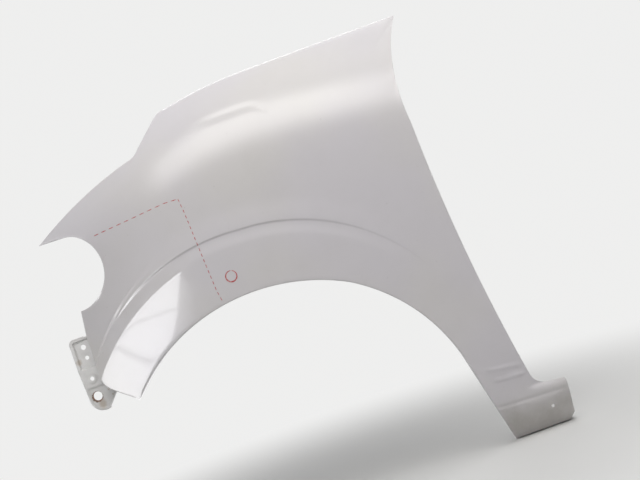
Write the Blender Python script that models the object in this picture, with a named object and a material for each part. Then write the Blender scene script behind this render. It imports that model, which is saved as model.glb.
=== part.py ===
"""Left front fender of a small van: one pressed steel skin with its turned-in flanges, and the small
pressed bracket spot-welded behind its front edge.

Everything is laid out about the centre of the front wheel, as on the car: X runs to the rear, Y runs
inboard and Z up. The finished part then hangs from an empty that puts the middle bolt pad of the hood
flange at the world's origin. All sizes are in metres and angles in degrees.
"""
import math

import bmesh
import bpy
import numpy as np
from mathutils import Matrix, Vector

# Sheet metal
SHEET = 0.0008
BRACKET_SHEET = 0.0015
WELD_GAP = 0.0003

# Wheel arch, as radii from the wheel centre and angles from straight up
ARCH_RADIUS = 0.352
ARCH_FRONT_SWEEP = 51.2
ARCH_FRONT_EASE = 0.012
ARCH_TURN_SWEEP = 27.8
ARCH_REAR_SWEEP = 73.7
ARCH_REAR_PINCH = 0.0134
ARCH_REAR_FULLNESS = 0.028
ARCH_FOOT_SLANT = 0.027
ARCH_FOOT_DROP = 0.106

# Flare round the arch, with the pressed step on its outer border
FLARE_WIDTH = 0.128
FLARE_START_RISE = 0.093
FLARE_BROW = 0.003
FLARE_BROW_SWEEP = 33.0
FLARE_CREST_EASE = 0.004
FLARE_CREST_SHARE = 0.3
FLARE_TAIL_SWEEP = 45.4
FLARE_TAIL_WIDTH = 0.090
FLARE_TAIL_BOW = 0.022
FLARE_FOOT_WIDTH = 0.050
STEP_WIDTH = 0.007
STEP_HEIGHT = 0.0045
FLARE_SWELL = 0.003
FLARE_SWELL_WIDTH = 0.030
FLARE_FADE_START = 5.0
FLARE_FADE_END = 52.0

# Front edge: rounded lower corner, bumper line and the round lamp cut-out
FRONT_REACH = 0.063
FRONT_CORNER_RISE = 0.044
FRONT_CORNER_RADIUS = 0.058
BUMPER_LINE_RISE = 0.148
BUMPER_TOP_RISE = 0.195
BUMPER_TOP_LEAN = 0.006
LAMP_RADIUS = 0.0735
NOSE_REACH = 0.055
NOSE_LIFT = 0.004

# Upper edge: nose, ramp up to the hood and hood line
NOSE_LENGTH = 0.246
NOSE_CLIMB = 0.097
NOSE_BULGE = 0.009
NOTCH_RADIUS = 0.030
RAMP_LENGTH = 0.066
RAMP_CLIMB = 0.073
HOOD_CORNER_RADIUS = 0.045
HOOD_CORNER_SHARE = 0.15
HOOD_FRONT_LENGTH = 0.178
HOOD_FRONT_CLIMB = 0.0225
HOOD_FRONT_BULGE = 0.0035
HOOD_REAR_LENGTH = 0.331
HOOD_REAR_CLIMB = 0.014

# Rear edge along the door, and the foot over the sill
WAIST_SETBACK = 0.052
WAIST_DROP = 0.222
WAIST_HOLLOW = 0.020
PILLAR_FOOT = 0.0825
PILLAR_HOLLOW = 0.012
PILLAR_FOOT_RADIUS = 0.028
SILL_LENGTH = 0.141
SILL_TOP_RISE = 0.025
SILL_TOP_FALL = 0.006
SILL_DEPTH = 0.066
SILL_SLANT = 0.018
SILL_CORNER = 0.012
SILL_TUCK = 0.024
SILL_TUCK_POWER = 1.3

# Shape of the skin in depth
FRONT_SWEEP_START = 0.100
FRONT_SWEEP_RADIUS = 0.474
DOOR_SWEEP_START = 0.200
DOOR_SWEEP_RADIUS = 3.9
CROWN_START = 0.250
CROWN_RADIUS = 3.6
TUCK_START = 0.200
TUCK_RADIUS = 2.1
SHOULDER_HEIGHT = 0.700
SHOULDER_REAR_FALL = 0.117
SHOULDER_FRONT_FALL = 0.440
SHOULDER_BLEND = 0.060
SHOULDER_SLOPE = 0.90
SHOULDER_SOFTNESS = 0.032

# Flanges turned inboard round the edge
BEND_RADIUS = 0.0025
ARCH_FLANGE = 0.020
FRONT_FLANGE = 0.008
LAMP_FLANGE = 0.009
NOSE_FLANGE = 0.014
HOOD_BEND_RADIUS = 0.004
HOOD_WALL = 0.020
HOOD_WALL_LEAN = 8.0
HOOD_FLANGE = 0.028
DOOR_FLANGE = 0.014
SILL_END_FLANGE = 0.009
SILL_FLANGE = 0.028
FLANGE_CLIP = 0.6

# Level bolt pads in the hood flange, by their distance along the hood edge
HOOD_PADS = (0.060, 0.240, 0.415)
PAD_LENGTH = 0.062
PAD_SEAT_LENGTH = 0.022
PAD_MARGIN = 0.006
PAD_HOLE_RADIUS = 0.0045

# Bolt tabs on the door flange, by their distance down the door edge
DOOR_TABS = (0.105, 0.585)
TAB_WIDTH = 0.034
TAB_FLARE = 0.014
TAB_LENGTH = 0.018
TAB_HOLE_RADIUS = 0.0035

# Clip and screw holes
CLIP_SWEEPS = (-38.0, -14.0, 10.0, 34.0, 62.0)
CLIP_HOLE_RADIUS = 0.0040
SILL_HOLE_RADIUS = 0.0033
SILL_HOLE_SETBACK = 0.039
SILL_HOLE_DROP = 0.026
SILL_BOLT_RADIUS = 0.0040
SILL_BOLT_SETBACK = 0.055

# Front bracket: widths from its outer edge, drops from its top edge
BRACKET_REACH = 0.040
BRACKET_HEIGHT = 0.149
BRACKET_SETBACK = 0.0035
BRACKET_CORNER = 0.010
BRACKET_TAPER = 0.0035
BRACKET_LOBE_RADIUS = 0.026
BRACKET_LOBE_END = 293.0
BRACKET_HEEL_REACH = 0.028
BRACKET_HEEL_DROP = 0.112
BRACKET_HEEL_RADIUS = 0.014
BRACKET_RIM = 0.0045
BRACKET_REAR_RIM = 0.0015
BRACKET_WALL = 0.003
BRACKET_RECESS = 0.0030
BRACKET_RECESS_DROP = 0.0625
BRACKET_EDGE_FLANGE = 0.0055
BRACKET_BEND_RADIUS = 0.0015
BRACKET_TAB_LENGTH = 0.008
BRACKET_TAB_DROP = 0.068
BRACKET_NOTCH = 0.009
BRACKET_HOLES = (
    (0.0245, 0.0202, 0.0050),
    (0.0250, 0.0416, 0.0040),
    (0.0220, 0.0831, 0.0040),
    (0.0215, 0.1184, 0.0087),
)

# Finish
PANEL_COLOR = (0.66, 0.65, 0.66)
BRACKET_COLOR = (0.62, 0.61, 0.61)
PAINT_ROUGHNESS = 0.32
SHARP_ANGLE = 32.0

# Mesh fineness: cells along the fender, rows across it, and the shares of the arch's and the
# step's length at which the outline's corners stand
NOSE_CELLS = 12
RAMP_CELLS = 5
HOOD_SPANS = (2, 1, 1, 1, 3, 1, 1, 1, 3, 1, 1, 1, 2)
DOOR_SPANS = (2, 1, 1, 1, 8, 1, 1, 1, 4)
SPANS_PER_MARK = 4
FOOT_CELLS = 7
SILL_CELLS = 4
ARCH_SHARES = (0.0, 0.25, 0.30, 0.60, 0.935, 1.0)
STEP_SHARES = (0.0, 0.24, 0.289, 0.585, 0.953, 1.0)
FLARE_ROWS = 6
STEP_ROWS = 2
BUMPER_ROWS = 2
LAMP_ROWS = 10
NOSE_ROWS = 3
FRONT_BEND_POWER = 1.3
RELAX_ROUNDS = 600
DRAWN_ROWS = 6
DRAWN_REACH = 4.0
ARC_POINTS = 33
NOSE_ARC_STEP = 4
FOOT_BLEND_POINTS = 4
CORNER_POINTS = 9
CORNER_SHARE = 0.48
SMALLEST_CUT = 1e-5
STRAIGHT = 1e-7
HOLE_SIDES = 20
HOLE_REACH = 0.012
BRACKET_LOBE_CELLS = 10
BRACKET_CORNER_CELLS = 5
BRACKET_TAB_CELLS = 3

RAMP_AT = NOSE_CELLS
HOOD_AT = RAMP_AT + RAMP_CELLS
DOOR_AT = HOOD_AT + sum(HOOD_SPANS)
FOOT_AT = DOOR_AT + sum(DOOR_SPANS)
SILL_AT = FOOT_AT + FOOT_CELLS
LAST_CELL = SILL_AT + SILL_CELLS
STEP_AT = FLARE_ROWS
OUTER_AT = STEP_AT + STEP_ROWS
LAMP_AT = OUTER_AT + BUMPER_ROWS
UNDER_NOSE_AT = LAMP_AT + LAMP_ROWS
LAST_ROW = UNDER_NOSE_AT + NOSE_ROWS


# Plane geometry: every outline is an array of (x, z) points

def point(x, z):
    return np.array([x, z], dtype=float)


def from_vertical(radius, degrees):
    """The point at this radius from the wheel centre, this far rearward of straight up."""
    angle = math.radians(degrees)
    return point(radius * math.sin(angle), radius * math.cos(angle))


def arc_through(start, middle, end):
    """A circular arc from start through middle to end, or a line where they stand in one."""
    first, second = middle - start, end - start
    cross = first[0] * second[1] - first[1] * second[0]
    if abs(cross) < STRAIGHT:
        return np.array([start, middle, end])
    a, b = first @ first, second @ second
    offset = point(second[1] * a - first[1] * b, first[0] * b - second[0] * a) / (2 * cross)
    centre, radius = start + offset, math.hypot(*offset)
    begin = math.atan2(*(start - centre)[::-1])
    finish = math.atan2(*(end - centre)[::-1])
    if cross > 0 and finish < begin:
        finish += 2 * math.pi
    if cross < 0 and finish > begin:
        finish -= 2 * math.pi
    angle = np.linspace(begin, finish, ARC_POINTS)
    return centre + radius * np.column_stack([np.cos(angle), np.sin(angle)])


def arc(start, end, rise):
    """A circular arc that stands out by rise to the left of the line from start to end."""
    along = (end - start) / math.hypot(*(end - start))
    return arc_through(start, (start + end) / 2 + rise * point(-along[1], along[0]), end)


def rounded(corners):
    """A polyline of (place, radius) corners with each inner corner rounded by its radius."""
    result = [corners[0][0]]
    for before, (here, radius), after in zip(corners, corners[1:], corners[2:]):
        back, ahead = before[0] - here, after[0] - here
        back_length, ahead_length = math.hypot(*back), math.hypot(*ahead)
        back, ahead = back / back_length, ahead / ahead_length
        turn = math.pi - math.acos(float(np.clip(back @ ahead, -1.0, 1.0)))
        cut = min(radius * math.tan(turn / 2), CORNER_SHARE * back_length,
                  CORNER_SHARE * ahead_length)
        if cut < SMALLEST_CUT:
            result.append(here)
            continue
        share = np.linspace(0.0, 1.0, CORNER_POINTS)[:, None]
        first, last = here + cut * back, here + cut * ahead
        result.extend((1 - share) ** 2 * first + 2 * share * (1 - share) * here + share ** 2 * last)
    result.append(corners[-1][0])
    return np.array(result)


def join(*pieces):
    """One polyline from several that follow each other."""
    return np.concatenate([pieces[0]] + [piece[1:] for piece in pieces[1:]])


def sample(line, shares):
    """The points at the given shares of a polyline's length."""
    run = np.concatenate([[0.0], np.cumsum(np.hypot(*np.diff(line, axis=0).T))])
    places = np.asarray(shares) * run[-1]
    return np.column_stack([np.interp(places, run, line[:, axis]) for axis in (0, 1)])


def even(line, cells):
    """The ends of so many equal stretches along a polyline."""
    return sample(line, np.linspace(0.0, 1.0, cells + 1))


def spaced(breaks, cells):
    """Values from the first break to the last, with so many even cells between each two."""
    spans = [np.linspace(low, high, count + 1)[:-1]
             for low, high, count in zip(breaks, breaks[1:], cells)]
    return np.concatenate(spans + [breaks[-1:]])


def measured(line, marks, half_widths, cells):
    """Points along a line with breaks at the given distances to both sides of each mark."""
    length = np.hypot(*np.diff(line, axis=0).T).sum()
    sides = [-width for width in half_widths] + [width for width in reversed(half_widths)]
    breaks = [0.0] + [mark + side for mark in marks for side in sides] + [length]
    return sample(line, spaced(np.array(breaks) / length, cells))


def smooth(share):
    """Rises from 0 to 1 with level ends."""
    share = np.clip(share, 0.0, 1.0)
    return share * share * (3.0 - 2.0 * share)


# Outline of the fender

def fender_outline():
    """The fender's edges, each a polyline: the arch and the upper edges run rearward, the front
    edges run upward."""
    front = from_vertical(ARCH_RADIUS + ARCH_FRONT_EASE, -ARCH_FRONT_SWEEP)
    turn = from_vertical(ARCH_RADIUS, ARCH_TURN_SWEEP)
    rear = from_vertical(ARCH_RADIUS - ARCH_REAR_PINCH, ARCH_REAR_SWEEP)
    foot = rear + point(ARCH_FOOT_SLANT, -ARCH_FOOT_DROP)
    heel = foot + point(SILL_SLANT, -SILL_DEPTH)
    edges = {"arch": join(arc_through(front, from_vertical(ARCH_RADIUS, 0.0), turn),
                          arc(turn, rear, ARCH_REAR_FULLNESS), np.array([rear, foot])),
             "arch_foot": np.array([foot, heel])}

    bumper_x = front[0] - FRONT_REACH
    step_start = point(bumper_x, front[1] + FLARE_START_RISE)
    step_inner = step_start - point(0.0, STEP_WIDTH)
    lamp_bottom = point(bumper_x + BUMPER_TOP_LEAN, front[1] + BUMPER_TOP_RISE)
    lamp_top = lamp_bottom + point(0.0, 2 * LAMP_RADIUS)
    tip = lamp_top + point(-NOSE_REACH, NOSE_LIFT)
    corner = point(bumper_x, front[1] + FRONT_CORNER_RISE)
    edges["lower_front"] = rounded([(front, 0.0), (corner, FRONT_CORNER_RADIUS), (step_inner, 0.0)])
    edges["step_end"] = np.array([step_inner, step_start])
    edges["bumper"] = np.array([step_start, point(bumper_x, front[1] + BUMPER_LINE_RISE), lamp_bottom])
    edges["lamp"] = arc(lamp_bottom, lamp_top, -LAMP_RADIUS)
    edges["under_nose"] = np.array([lamp_top, tip])

    notch = tip + point(NOSE_LENGTH, NOSE_CLIMB)
    hood_front = notch + point(RAMP_LENGTH, RAMP_CLIMB)
    hood_middle = hood_front + point(HOOD_FRONT_LENGTH, HOOD_FRONT_CLIMB)
    hood_rear = hood_middle + point(HOOD_REAR_LENGTH, HOOD_REAR_CLIMB)
    ramp_middle = (notch + hood_front) / 2
    hood_start = hood_front + (hood_middle - hood_front) * HOOD_CORNER_SHARE
    nose_line = [(place, 0.0) for place in arc(tip, notch, NOSE_BULGE)[:-1:NOSE_ARC_STEP]]
    edges["nose"] = rounded(nose_line + [(notch, NOTCH_RADIUS), (ramp_middle, 0.0)])
    edges["ramp"] = rounded([(ramp_middle, 0.0), (hood_front, HOOD_CORNER_RADIUS), (hood_start, 0.0)])
    edges["hood"] = join(arc(hood_start, hood_middle, HOOD_FRONT_BULGE),
                         np.array([hood_middle, hood_rear]))

    waist = hood_rear - point(WAIST_SETBACK, WAIST_DROP)
    pillar_foot = foot + point(PILLAR_FOOT, SILL_TOP_RISE)
    sill_top = foot + point(SILL_LENGTH, SILL_TOP_RISE - SILL_TOP_FALL)
    sill_side = foot + point(SILL_LENGTH, 0.0)
    pillar = arc(waist, pillar_foot, -PILLAR_HOLLOW)
    edges["door"] = join(arc(hood_rear, waist, -WAIST_HOLLOW), pillar[:1 - FOOT_BLEND_POINTS])
    edges["foot"] = rounded([(pillar[-FOOT_BLEND_POINTS], 0.0), (pillar_foot, PILLAR_FOOT_RADIUS),
                             (sill_top, 0.0)])
    edges["sill_side"] = np.array([sill_top, sill_side])
    edges["sill_end"] = np.array([sill_side, point(sill_side[0], heel[1] + SILL_CORNER)])
    edges["sill_bottom"] = np.array([heel, point(sill_side[0] - SILL_CORNER, heel[1]),
                                     edges["sill_end"][-1]])

    crown = from_vertical(ARCH_RADIUS + FLARE_WIDTH, 0.0)
    brow = from_vertical(ARCH_RADIUS + FLARE_WIDTH + FLARE_BROW, -FLARE_BROW_SWEEP)
    tail = from_vertical(ARCH_RADIUS + FLARE_TAIL_WIDTH, FLARE_TAIL_SWEEP)
    crest = from_vertical(ARCH_RADIUS + FLARE_WIDTH - FLARE_CREST_EASE,
                          FLARE_TAIL_SWEEP * FLARE_CREST_SHARE)
    step_foot = foot + point(FLARE_FOOT_WIDTH, 0.0)
    edges["step"] = join(arc_through(step_start, brow, crown), arc_through(crown, crest, tail),
                         arc(tail, step_foot, FLARE_TAIL_BOW))
    edges["step_foot"] = np.array([step_foot, heel + point(FLARE_FOOT_WIDTH + STEP_WIDTH, 0.0)])
    return edges


# Depth of the skin

def shoulder_height(x):
    """Height of the shoulder line, which falls gently rearward and faster towards the nose."""
    forward = np.logaddexp(0.0, -x / SHOULDER_BLEND) * SHOULDER_BLEND
    return SHOULDER_HEIGHT - SHOULDER_REAR_FALL * x - (SHOULDER_REAR_FALL + SHOULDER_FRONT_FALL) * forward


def skin_depth(x, z):
    """How far inboard the plain skin lies at (x, z): parabolic sweeps to the front, to the door, up
    the crown and down the tuck, and a soft shoulder above which it leans in at an even slope."""
    front = np.clip(-FRONT_SWEEP_START - x, 0.0, None) ** 2 / (2 * FRONT_SWEEP_RADIUS)
    door = np.clip(x - DOOR_SWEEP_START, 0.0, None) ** 2 / (2 * DOOR_SWEEP_RADIUS)
    crown = np.clip(z - CROWN_START, 0.0, None) ** 2 / (2 * CROWN_RADIUS)
    tuck = np.clip(TUCK_START - z, 0.0, None) ** 2 / (2 * TUCK_RADIUS)
    over = np.logaddexp(0.0, (z - shoulder_height(x)) / SHOULDER_SOFTNESS) * SHOULDER_SOFTNESS
    return front + door + crown + tuck + SHOULDER_SLOPE * over


# The skin's grid of (x, z): columns run across from the arch to the outer edge

def column_ends(edges):
    """The points where each column meets the arch, the step and the outer edge."""
    cells = (NOSE_CELLS, RAMP_CELLS, sum(HOOD_SPANS), sum(DOOR_SPANS), FOOT_CELLS)

    def along(line, shares, foot):
        return join(sample(line, spaced(np.array(shares), cells)), even(foot, SILL_CELLS))

    arch = along(edges["arch"], ARCH_SHARES, edges["arch_foot"])
    step = along(edges["step"], STEP_SHARES, edges["step_foot"])
    hood = measured(edges["hood"], HOOD_PADS, (PAD_LENGTH / 2, PAD_SEAT_LENGTH / 2), HOOD_SPANS)
    door = measured(edges["door"], DOOR_TABS, (TAB_WIDTH / 2 + TAB_FLARE, TAB_WIDTH / 2), DOOR_SPANS)
    outer = join(even(edges["nose"], NOSE_CELLS), even(edges["ramp"], RAMP_CELLS), hood, door,
                 even(edges["foot"], FOOT_CELLS - 1), edges["sill_side"],
                 even(edges["sill_end"], SILL_CELLS))
    return arch, step, outer


def across(arch, inner, step, outer):
    """Rows of points from the arch over the step to the outer edge, for any number of columns."""
    flare = np.linspace(0.0, 1.0, FLARE_ROWS + 1)[:-1, None]
    rise = np.linspace(0.0, 1.0, STEP_ROWS + 1)[:-1, None]
    body = np.linspace(0.0, 1.0, LAST_ROW - OUTER_AT + 1)[:, None]
    rows = [arch[:, None] * (1 - flare) + inner[:, None] * flare,
            inner[:, None] * (1 - rise) + step[:, None] * rise,
            step[:, None] * (1 - body) + outer[:, None] * body]
    return np.concatenate(rows, axis=1)


def skin_plan(edges):
    """The grid of (x, z) points: straight columns, bent at both ends to meet the end outlines."""
    arch, step, outer = column_ends(edges)
    inward = arch - step
    inner = step + inward / np.hypot(*inward.T)[:, None] * STEP_WIDTH
    grid = across(arch, inner, step, outer)

    front = np.concatenate([
        even(edges["lower_front"], FLARE_ROWS)[:-1], even(edges["step_end"], STEP_ROWS)[:-1],
        even(edges["bumper"], BUMPER_ROWS)[:-1], even(edges["lamp"], LAMP_ROWS)[:-1],
        even(edges["under_nose"], NOSE_ROWS)])
    bend = np.clip(1.0 - np.arange(LAST_CELL + 1) / HOOD_AT, 0.0, None) ** FRONT_BEND_POWER
    grid += bend[:, None, None] * (front - grid[0])

    bottom = edges["sill_bottom"]
    run = np.hypot(*(grid[-1] - grid[-1][0]).T)
    heel_row = sample(bottom, run / run[-1])
    tail = np.clip((np.arange(LAST_CELL + 1) - SILL_AT) / SILL_CELLS, 0.0, 1.0)
    grid += tail[:, None, None] * (heel_row - grid[-1])
    grid[:, OUTER_AT:] = relaxed(grid[:, OUTER_AT:])
    return grid


def relaxed(grid):
    """Evens out the cells of a grid with fixed edges, as a soap film would: each inner point moves
    to where the grid's lines are harmonic, which keeps them from crossing."""
    for _ in range(RELAX_ROUNDS):
        east, west, north, south = grid[2:, 1:-1], grid[:-2, 1:-1], grid[1:-1, 2:], grid[1:-1, :-2]
        along, up = (east - west) / 2, (north - south) / 2
        a = (up ** 2).sum(-1, keepdims=True)
        b = (along * up).sum(-1, keepdims=True)
        c = (along ** 2).sum(-1, keepdims=True)
        cross = (grid[2:, 2:] - grid[2:, :-2] - grid[:-2, 2:] + grid[:-2, :-2]) / 4
        grid[1:-1, 1:-1] = (a * (east + west) + c * (north + south) - 2 * b * cross) / (2 * (a + c))
    return grid


def flare_lift(grid):
    """How far the flare stands outboard of the plain skin: a step at its border, a soft swell
    inside it, both fading out rearward of the crown, and nothing outside the step."""
    rows = np.arange(LAST_ROW + 1)
    step = 1.0 - smooth((rows - STEP_AT) / STEP_ROWS)
    from_step = np.hypot(*(grid - grid[:, STEP_AT:STEP_AT + 1]).transpose(2, 0, 1))
    swell = np.where(rows <= STEP_AT, smooth(from_step / FLARE_SWELL_WIDTH), 0.0)
    sweep = np.degrees(np.arctan2(grid[:, STEP_AT, 0], grid[:, STEP_AT, 1]))
    fade = 1.0 - smooth((sweep - FLARE_FADE_START) / (FLARE_FADE_END - FLARE_FADE_START))
    return fade[:, None] * (STEP_HEIGHT * step + FLARE_SWELL * swell)


def sill_tuck():
    """How far the foot's lower face turns in, column by column."""
    share = np.clip((np.arange(LAST_CELL + 1) - SILL_AT) / SILL_CELLS, 0.0, 1.0)
    return SILL_TUCK * share[:, None] ** SILL_TUCK_POWER


def skin_surface(plan):
    """The grid of (x, y, z) points of the skin's outer face."""
    x, z = plan[..., 0], plan[..., 1]
    y = skin_depth(x, z) - flare_lift(plan) + sill_tuck()
    return np.stack([x, y, z], axis=-1)


# Sheet surfaces: points and faces, and flanges that carry on from their edges

class Surface:
    """The points and faces of a sheet's outer side."""

    def __init__(self, points, faces):
        self.points = [tuple(place) for place in points.tolist()]
        self.faces = faces

    def flange(self, ring, outward, profiles, left):
        """Adds rows of points beside a ring of edge points. Each profile is a list of (out, in)
        steps from its edge point: out along its outward direction and in along +Y."""
        first = len(self.points)
        for place, (out_x, out_z), profile in zip(ring, outward, profiles):
            x, y, z = self.points[place]
            self.points.extend((x + out * out_x, y + inner, z + out * out_z) for out, inner in profile)
        fresh = first + np.arange(profiles.shape[0] * profiles.shape[1]).reshape(len(ring), -1)
        rows = np.column_stack([ring, fresh])
        quads = np.stack([rows[:-1, :-1], rows[1:, :-1], rows[1:, 1:], rows[:-1, 1:]], axis=-1)
        if not left:
            quads = quads[..., ::-1]
        self.faces.extend(quads.reshape(-1, 4).tolist())
        return rows

    def middle(self, *places):
        """The middle of some points, by their index."""
        return np.mean([self.points[place] for place in np.ravel(places)], axis=0)


def outward_of(line, left):
    """Unit directions square to a line of (x, z) points, to its left or right."""
    along = np.gradient(line, axis=0)
    along /= np.hypot(*along.T)[:, None]
    outward = np.column_stack([-along[:, 1], along[:, 0]])
    return outward if left else -outward


def draw_in(skin, places, inside, radius, outward):
    """Moves edge points in to where their bend begins, so that the flange stands on the outline,
    and the rows just inside them with them, less and less. Returns each edge point's slope: the
    skin's direction there, from straight out to inboard."""
    edge = skin[places].copy()
    inner = skin[places[0] + inside[0], places[1] + inside[1]]
    run = ((edge - inner)[:, [0, 2]] * outward).sum(axis=1)
    slope = np.arctan2(edge[:, 1] - inner[:, 1], run)
    shift = radius * (1.0 - np.sin(slope))
    push = np.column_stack([outward[:, 0], np.tan(slope), outward[:, 1]]) * shift[:, None]
    for depth in range(DRAWN_ROWS):
        spots = places[0] + depth * inside[0], places[1] + depth * inside[1]
        away = np.sqrt(((skin[spots] - edge) ** 2).sum(axis=1, keepdims=True))
        skin[spots] -= push * np.clip(1.0 - away / (DRAWN_REACH * radius), 0.0, 1.0)
    return slope


def bend(start, radius, end, segments):
    """Steps (out, in) round a bend from one direction to another, angles from straight out."""
    side = math.copysign(1.0, end - start)
    angle = np.linspace(start, end, segments + 1)[1:]
    return np.column_stack([side * radius * (np.sin(angle) - math.sin(start)),
                            side * radius * (math.cos(start) - np.cos(angle))])


def plain_flange(slope, length, radius=BEND_RADIUS):
    """A bend to straight inboard and a flat of the given length."""
    turned = bend(slope, radius, math.pi / 2, 2)
    return np.concatenate([turned, turned[-1:] + [[0.0, length]]])


def hood_flange(slope, drop):
    """Over the edge and down a wall by the given drop, then flat inboard in three strips."""
    lean = math.radians(HOOD_WALL_LEAN)
    over = bend(slope, HOOD_BEND_RADIUS, math.pi - lean, 4)
    back = bend(math.pi - lean, BEND_RADIUS, math.pi / 2, 2)
    fall = drop - HOOD_BEND_RADIUS * (1 - math.sin(slope)) + over[-1][0] + back[-1][0]
    wall = over[-1] + fall / math.cos(lean) * np.array([-math.cos(lean), math.sin(lean)])
    turned = wall + back
    flat = [[0.0, PAD_MARGIN], [0.0, HOOD_FLANGE - PAD_MARGIN], [0.0, HOOD_FLANGE]]
    return np.concatenate([over, [wall], turned, turned[-1] + flat])


def clipped(length, count):
    """A flange's length at each of its stations, shorter at both ends."""
    lengths = np.full(count, length)
    lengths[[0, -1]] *= FLANGE_CLIP
    return lengths


# The fender panel

def column(number, first, last):
    """The places along one column of the skin's grid, from its first row to before its last."""
    return np.full(last - first, number), np.arange(first, last)


def row(number, first, last):
    """The places along one row of the skin's grid, from its first column to before its last."""
    return np.arange(first, last), np.full(last - first, number)


def pad_stations():
    """The hood flange's stations at the front end of each bolt pad, counted from its own start."""
    return [sum(HOOD_SPANS[:1 + SPANS_PER_MARK * pad]) for pad in range(len(HOOD_PADS))]


def tab_stations():
    """The door edge's stations at the upper end of each bolt tab, counted from the door's top."""
    return [sum(DOOR_SPANS[:2 + SPANS_PER_MARK * tab]) for tab in range(len(DOOR_TABS))]


def hood_drops(heights):
    """How far the hood flange lies below its edge: level along each pad, even slopes between."""
    known, levels = [], []
    for first in pad_stations():
        level = (heights[first + 1] + heights[first + 2]) / 2 - HOOD_WALL
        known.extend(range(first, first + SPANS_PER_MARK))
        levels.extend([level] * SPANS_PER_MARK)
    lines = [0] + known + [len(heights) - 1]
    ends = [heights[0] - HOOD_WALL] + levels + [heights[-1] - HOOD_WALL]
    return heights - np.interp(np.arange(len(heights)), lines, ends)


def turn_edges(skin):
    """The whole sheet: the skin with all its edges turned inboard. Returns it with the index rows
    of each flange that holes go through."""
    plan = skin[..., [0, 2]].copy()
    edges = {
        "arch": (row(0, 1, LAST_CELL), (0, 1), False, ARCH_FLANGE),
        "front": (column(0, 1, LAMP_AT), (1, 0), True, FRONT_FLANGE),
        "lamp": (column(0, LAMP_AT + 1, LAST_ROW), (1, 0), True, LAMP_FLANGE),
        "nose": (row(LAST_ROW, 1, HOOD_AT), (0, -1), True, NOSE_FLANGE),
        "hood": (row(LAST_ROW, HOOD_AT, DOOR_AT), (0, -1), True, HOOD_FLANGE),
        "door": (row(LAST_ROW, DOOR_AT + 1, FOOT_AT), (0, -1), True, DOOR_FLANGE),
        "sill_end": (row(LAST_ROW, SILL_AT, LAST_CELL), (0, -1), True, SILL_END_FLANGE),
        "sill": (column(LAST_CELL, 1, LAST_ROW), (-1, 0), False, SILL_FLANGE),
    }
    shapes = {}
    for name, (places, inside, left, length) in edges.items():
        outward = outward_of(plan[places], left)
        lengths = clipped(length, len(outward))
        if name == "hood":
            outward = np.tile([0.0, 1.0], (len(outward), 1))
            slopes = draw_in(skin, places, inside, HOOD_BEND_RADIUS, outward)
            drops = hood_drops(plan[places][:, 1])
            profiles = np.array([hood_flange(*pair) for pair in zip(slopes, drops)])
        else:
            slopes = draw_in(skin, places, inside, BEND_RADIUS, outward)
            if name == "door":
                for first in tab_stations():
                    lengths[[first - 1, first]] += TAB_LENGTH
            profiles = np.array([plain_flange(*pair) for pair in zip(slopes, lengths)])
        shapes[name] = (places, outward, profiles, left)

    index = np.arange(skin[..., 0].size).reshape(skin.shape[:2])
    cells = np.stack([index[:-1, :-1], index[1:, :-1], index[1:, 1:], index[:-1, 1:]], axis=-1)
    surface = Surface(skin.reshape(-1, 3), cells.reshape(-1, 4).tolist())
    rows = {}
    for name, (places, outward, profiles, left) in shapes.items():
        rows[name] = surface.flange(index[places], outward, profiles, left)
    return surface, rows


def seats(surface, rows):
    """The middle of each hood pad's underside, from front to rear."""
    middles = [surface.middle(rows["hood"][first + 1:first + 3, -3:-1]) for first in pad_stations()]
    return [middle - np.array([0.0, 0.0, SHEET]) for middle in middles]


def flange_hole(surface, rows, share, depth, radius):
    """A hole square through a flange's flat, at a fractional station and so far inboard."""
    low = int(share)
    part = share - low
    near = np.array([surface.points[place] for place in rows[[low, low + 1], -2]])
    along = near[1] - near[0]
    centre = near[0] + part * along + np.array([0.0, depth, 0.0])
    return centre, (-along[2], 0.0, along[0]), radius


def panel_holes(surface, rows, edges):
    """Every hole as (centre, axis, radius): one in each pad and tab, the liner's clips in the arch
    flange, and a bolt's and a screw's in the foot."""
    holes = []
    for first in pad_stations():
        centre = surface.middle(rows["hood"][first:first + 2, -3:-1])
        holes.append((centre, (0.0, 0.0, 1.0), PAD_HOLE_RADIUS))
    for first in tab_stations():
        holes.append(flange_hole(surface, rows["door"], first - 0.5,
                                 DOOR_FLANGE + TAB_LENGTH / 2, TAB_HOLE_RADIUS))
    brim = np.array([surface.points[place] for place in rows["arch"][:, -2]])
    sweeps = np.degrees(np.arctan2(brim[:, 0], brim[:, 2]))
    for sweep in CLIP_SWEEPS:
        share = float(np.interp(sweep, sweeps, np.arange(len(sweeps))))
        holes.append(flange_hole(surface, rows["arch"], share, ARCH_FLANGE / 2, CLIP_HOLE_RADIUS))
    bottom = np.array([surface.points[place] for place in rows["sill"][:, -2]])
    share = float(np.interp(edges["sill_end"][0][0] - SILL_BOLT_SETBACK, bottom[:, 0],
                            np.arange(len(bottom))))
    holes.append(flange_hole(surface, rows["sill"], share, SILL_FLANGE / 2, SILL_BOLT_RADIUS))
    screw = edges["sill_end"][0] - point(SILL_HOLE_SETBACK, SILL_HOLE_DROP)
    holes.append(((screw[0], float(skin_depth(*screw)), screw[1]), (0.0, 1.0, 0.0), SILL_HOLE_RADIUS))
    return holes


# The front bracket

def round_from(centre, radius, first, last, cells):
    """Points round a centre from one angle to another, anticlockwise from straight rearward."""
    angle = np.radians(np.linspace(first, last, cells + 1))
    return centre + radius * np.column_stack([np.cos(angle), np.sin(angle)])


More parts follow.
